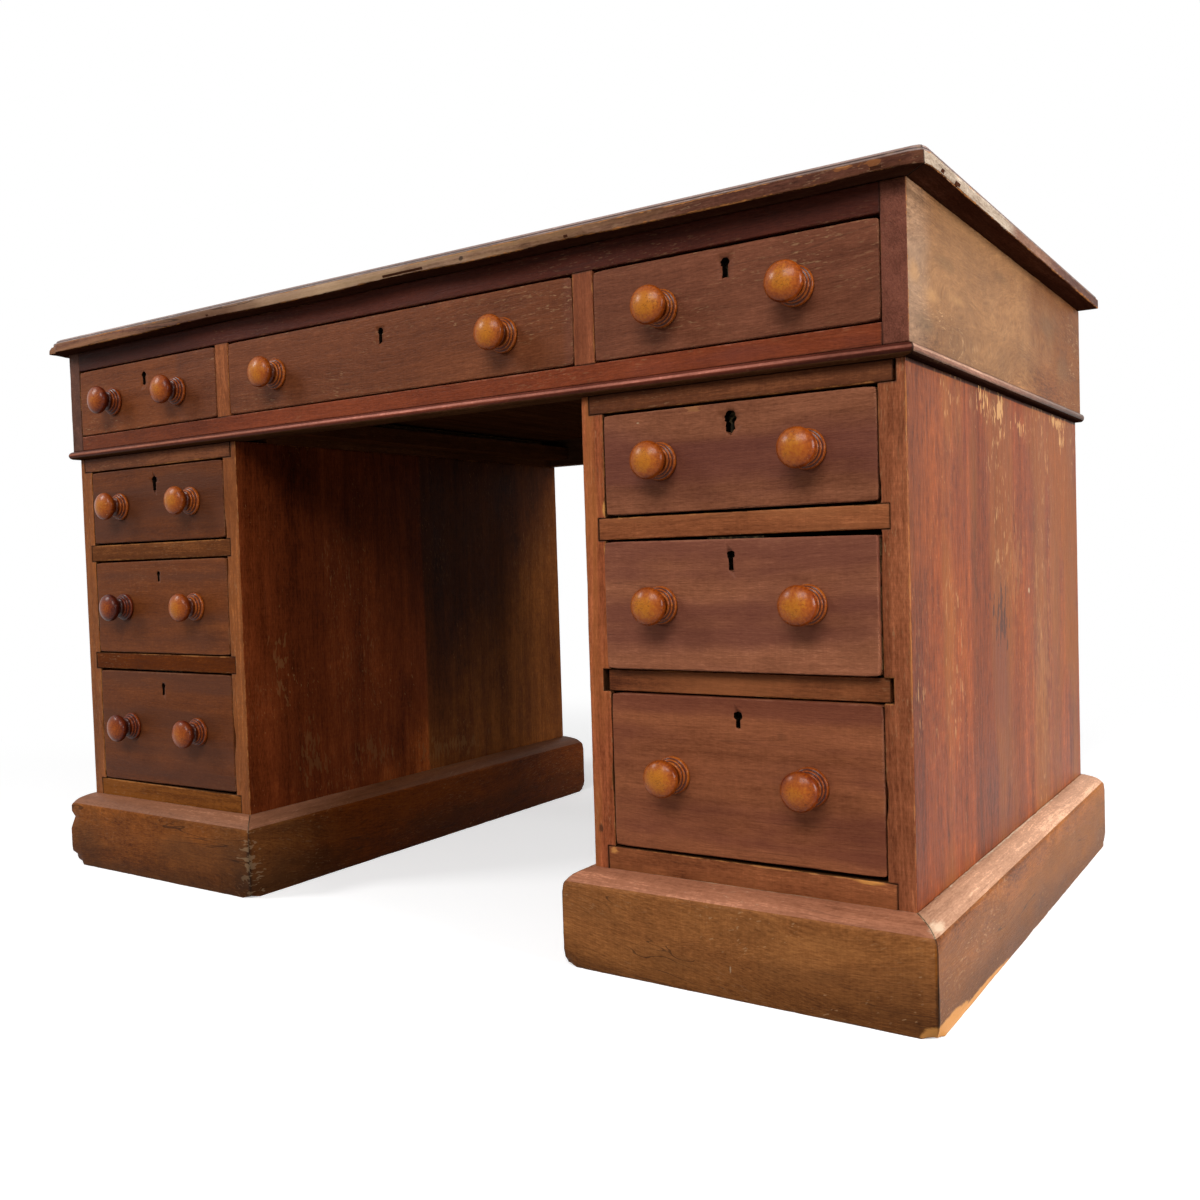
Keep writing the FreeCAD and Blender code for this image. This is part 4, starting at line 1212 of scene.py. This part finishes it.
def drawer(name):
    node = f"{name}_drawer_front"
    low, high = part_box(node)
    seed = next(seeds)
    finish = "frieze_front" if "frieze" in name else "left_front" if "left" in name else "front"
    points, quads = lattice(*block(low, high), 0.010)
    points, wear, grime = rub(points, quads, [], 0.0016, seed, splinters=0.0010)
    shrink_front(points, low, high, *SHRINKAGE[name])
    centre = (low + high) / 2
    dent(points, [((x, low.y, z), (0.006, 0.05, 0.006),
                   (math.copysign(0.0011, centre.x - x), 0, math.copysign(0.0009, centre.z - z)))
                  for x in (low.x, high.x) for z in (low.z, high.z)])
    tone = DRAWER_TONES.get(name, 0.0) + noise.noise(Vector((seed * 0.61, 0.5, 0.5)))
    thing = build(node + "_board", points, quads.tolist(), "x", seed, wear, grime, tone)
    drop, head, slot, height, ragged = KEYHOLES[name]
    middle = Vector(((low.x + high.x) / 2, low.y, high.z - drop - head))
    keyhole = keyhole_outline(head, slot, height, ragged, seed)
    carve(thing, front_cutters(name, keyhole, middle, low, high), "x", seed, tone)

    def choose(normals, centres):
        beside = np.abs(centres[:, 0] - middle.x) < head * 2
        level = np.abs(centres[:, 2] - (middle.z + head - height / 2)) < height / 2 + ragged * 2
        return beside & level & (np.abs(normals[:, 1]) < 0.5)

    dress(thing, [finish, "keyhole"], choose)
    settle(thing, f"{name}_drawer", node)


# Strokes of a knob's outline, as shares of its radius and its length. Two points are a line, three an arc.
KNOB_OUTLINE_SHARES = [
    [(0.94, 0.0), (1.0, 0.065), (0.93, 0.135)],
    [(0.93, 0.135), (0.83, 0.15)],
    [(0.83, 0.15), (0.87, 0.185), (0.81, 0.22)],
    [(0.81, 0.22), (0.74, 0.235)],
    [(0.74, 0.235), (0.765, 0.268), (0.66, 0.305)],
    [(0.66, 0.305), (0.47, 0.39), (0.56, 0.5)],
    [(0.56, 0.5), (0.84, 0.565)],
    [(0.84, 0.565), (1.0, 0.71), (0.86, 0.865)],
]


def arc_through(a, b, c, count):
    """Points of the circle's arc from a through b to c."""
    (ax, ay), (bx, by), (cx, cy) = a, b, c
    d = 2 * (ax * (by - cy) + bx * (cy - ay) + cx * (ay - by))
    sums = [x * x + y * y for x, y in (a, b, c)]
    ux = (sums[0] * (by - cy) + sums[1] * (cy - ay) + sums[2] * (ay - by)) / d
    uy = (sums[0] * (cx - bx) + sums[1] * (ax - cx) + sums[2] * (bx - ax)) / d
    turns = [math.atan2(y - uy, x - ux) for x, y in (a, b, c)]
    span = [(turn - turns[0]) % (2 * math.pi) for turn in turns]
    sweep = span[2] if span[1] < span[2] else span[2] - 2 * math.pi
    radius = math.hypot(ax - ux, ay - uy)
    angles = [turns[0] + sweep * i / count for i in range(count + 1)]
    return [(ux + radius * math.cos(angle), uy + radius * math.sin(angle)) for angle in angles]


def knob_profile(length):
    """Radius and height of a knob's outline, from its seat to the middle of its domed face, and how
    hollow and dirty each place is."""
    points, hollow = [], []
    for stroke in KNOB_OUTLINE_SHARES:
        scaled = [(KNOB_RADIUS * r, length * t) for r, t in stroke]
        if len(scaled) == 2:
            points += [scaled[0], tuple((a + b) / 2 for a, b in zip(*scaled))]
            hollow += [0.5, 1.0]
        else:
            waist = scaled[1][0] < scaled[0][0]
            points += arc_through(*scaled, KNOB_ARC)[:-1]
            hollow += [0.7 if waist else 0.6 * max(0.0, 1 - 2.5 * i / KNOB_ARC) for i in range(KNOB_ARC)]
    rim = scaled[-1]
    rise = length - rim[1]
    radius = (rim[0] ** 2 + rise ** 2) / (2 * rise)
    half = math.asin(rim[0] / radius)
    turns = [half * (1 - i / KNOB_ARC) for i in range(KNOB_ARC)]
    dome = [(radius * math.sin(turn), length - radius * (1 - math.cos(turn))) for turn in turns]
    return points + dome, hollow + [0.0] * len(dome)


# Knobs that are redder or darker than the rest
KNOB_TONES = {("left_middle", "left"): -0.75, ("left_frieze", "left"): -0.25, ("left_frieze", "right"): -0.1,
              ("left_lower", "left"): -0.4, ("left_lower", "right"): -0.2, ("right_lower", "right"): 0.05}


def knob_mesh(x, z, front, low, high, seed):
    """Points and faces of one turned knob, how worn each point is, and how dirty."""
    length = front - low.y
    outline, hollow = knob_profile(length)
    profile = [(KNOB_SPIGOT, front - high.y), (KNOB_SPIGOT, -0.0002)] + outline
    points, grime, wear, faces = [], [], [], []
    for (radius, out), dirt in zip(profile, [0.0, 0.0] + hollow):
        for turn in np.linspace(0, 2 * math.pi, KNOB_AROUND, endpoint=False):
            across, up = math.cos(turn), math.sin(turn)
            worn = 0.994 + 0.006 * noise.noise(Vector((across, up, out * 60 + seed * 5)))
            points.append((x + radius * worn * across, front - out, z + radius * worn * up))
            grime.append(dirt)
            crest = 0.55 * (1 - dirt) if 0 < out < length * 0.32 else 0.0
            wear.append(max(0.0, 1.15 - (radius / KNOB_RADIUS) ** 2) if out > length * 0.7 else crest)
    points += [(x, low.y, z), (x, high.y, z)]
    grime += [0.0, 0.0]
    wear += [1.15, 0.0]
    around = KNOB_AROUND
    last = (len(profile) - 1) * around
    for i in range(around):
        j = (i + 1) % around
        faces += [(r + i, r + j, r + around + j, r + around + i) for r in range(0, last, around)]
        faces += [(last + i, last + j, len(points) - 2), (j, i, len(points) - 1)]
    return np.array(points), faces, np.array(wear), np.array(grime)


def knobs(name):
    node = f"{name}_drawer_knobs"
    low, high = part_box(node)
    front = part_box(f"{name}_drawer_front")[0].y
    for side, x in (("left", low.x + KNOB_RADIUS), ("right", high.x - KNOB_RADIUS)):
        seed = next(seeds)
        points, faces, wear, grime = knob_mesh(x, (low.z + high.z) / 2, front, low, high, seed)
        tone = KNOB_TONES.get((name, side), 0.25) + 0.25 * noise.noise(Vector((seed * 1.7, 0.3, 0.9)))
        thing = build(f"{name}_{side}_knob", points, faces, "y", seed, wear, grime, tone)
        dress(thing, ["knob"])
        settle(thing, f"{name}_drawer", node)


# Pieces that keep their CAD shape and get a finish

def finish_cad_nodes():
    finishes = dict.fromkeys(("frieze_runners", "left_pedestal_runners", "right_pedestal_runners"), "runner")
    for name in DRAWERS:
        for part, finish in (("box", "lining"), ("lock", "brass"), ("bolt", "brass")):
            finishes[f"{name}_drawer_{part}"] = finish
    for node, finish in finishes.items():
        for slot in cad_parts[node].material_slots:
            slot.material = FINISH[finish]


# Stage

def looked_at(s):
    """One on the rays that show a thing to the camera, straight, in a gloss or through glass."""
    rays = s.add("ShaderNodeLightPath").outputs
    seen = s.maths("MAXIMUM", rays["Is Camera Ray"], rays["Is Glossy Ray"])
    return s.maths("MAXIMUM", seen, rays["Is Transmission Ray"])


def stage_material():
    """Pale floor that shows white to the camera further out, and keeps the desk's soft shadow near it."""
    s = Shader(bpy.data.materials.new("pale_floor"))
    seen = looked_at(s)
    flat = s.vector("MULTIPLY", s.object_place(), (1, 1, 0))
    far = s.step(s.vector("LENGTH", flat), 0.8, 2.0)
    s.set(Base_Color=s.mix(seen, (0.22, 0.21, 0.20), (0.90, 0.90, 0.90)), Roughness=0.9,
          Emission_Color=WHITE, Emission_Strength=s.times(seen, 0.40))
    white = s.add("ShaderNodeEmission", {"Color": WHITE, "Strength": 1.0})
    both = s.add("ShaderNodeMixShader", {0: s.times(far, seen), 1: s.surface.outputs[0], 2: white.outputs[0]})
    s.put(s.tree.nodes["Material Output"].inputs["Surface"], both.outputs[0])
    return s.owner


def lamp(name, place, target, size, power):
    data = bpy.data.lights.new(name, "AREA")
    data.shape = "RECTANGLE"
    data.size, data.size_y = size
    data.energy = power
    thing = add_object(name, data)
    thing.location = place
    thing.rotation_euler = (Vector(target) - Vector(place)).to_track_quat("-Z", "Y").to_euler()


def stage():
    mesh = bmesh.new()
    bmesh.ops.create_grid(mesh, x_segments=8, y_segments=8, size=FLOOR_REACH)
    floor = mesh_object("floor", mesh)
    floor.data.materials.append(stage_material())
    world = bpy.data.worlds.new("studio")
    bpy.context.scene.world = world
    s = Shader(world, "Background")
    s.set(Color=WHITE, Strength=s.step(looked_at(s), 0.0, 1.0, 0.15, 1.0))
    lamp("side_softbox", (3.4, 0.2, 1.1), (0.4, 0, 0.4), (2.2, 1.4), 145)
    lamp("front_softbox", (1.0, -3.2, 2.7), (0, 0, 0.4), (2.2, 1.4), 105)
    lamp("left_softbox", (-2.4, -2.2, 2.4), (0, 0, 0.4), (0.9, 0.9), 42)


def camera():
    turn = (Matrix.Rotation(CAMERA_YAW, 3, "Z") @ Matrix.Rotation(CAMERA_PITCH, 3, "X")
            @ Matrix.Rotation(CAMERA_ROLL, 3, "Y"))
    right, forward, up = (turn @ Vector(axis) for axis in (RIGHT, BACK, UP))
    data = bpy.data.cameras.new("camera")
    data.lens = CAMERA_LENS
    data.sensor_width = CAMERA_SENSOR
    thing = add_object("camera", data)
    facing_back = Matrix((right, up, -forward)).transposed().to_4x4()
    thing.matrix_world = Matrix.Translation(CAMERA_PLACE) @ facing_back
    bpy.context.scene.camera = thing


for node in ("frieze_panels", "frieze_front_frame", "frieze_bead", "left_pedestal_sides",
             "left_pedestal_rails", "left_pedestal_boards", "right_pedestal_sides", "right_pedestal_rails",
             "right_pedestal_boards"):
    CASE_BOXES += [extent(solid) for solid in solids(node)]
desk_top()
frieze()
frieze_bead()
for side in ("left", "right"):
    pedestal_rails(side)
    pedestal_sides(side)
    pedestal_boards(side)
    plinth(side)
for name in DRAWERS:
    drawer(name)
    knobs(name)
finish_cad_nodes()
stage()
camera()
bpy.context.scene.view_settings.view_transform = "Standard"
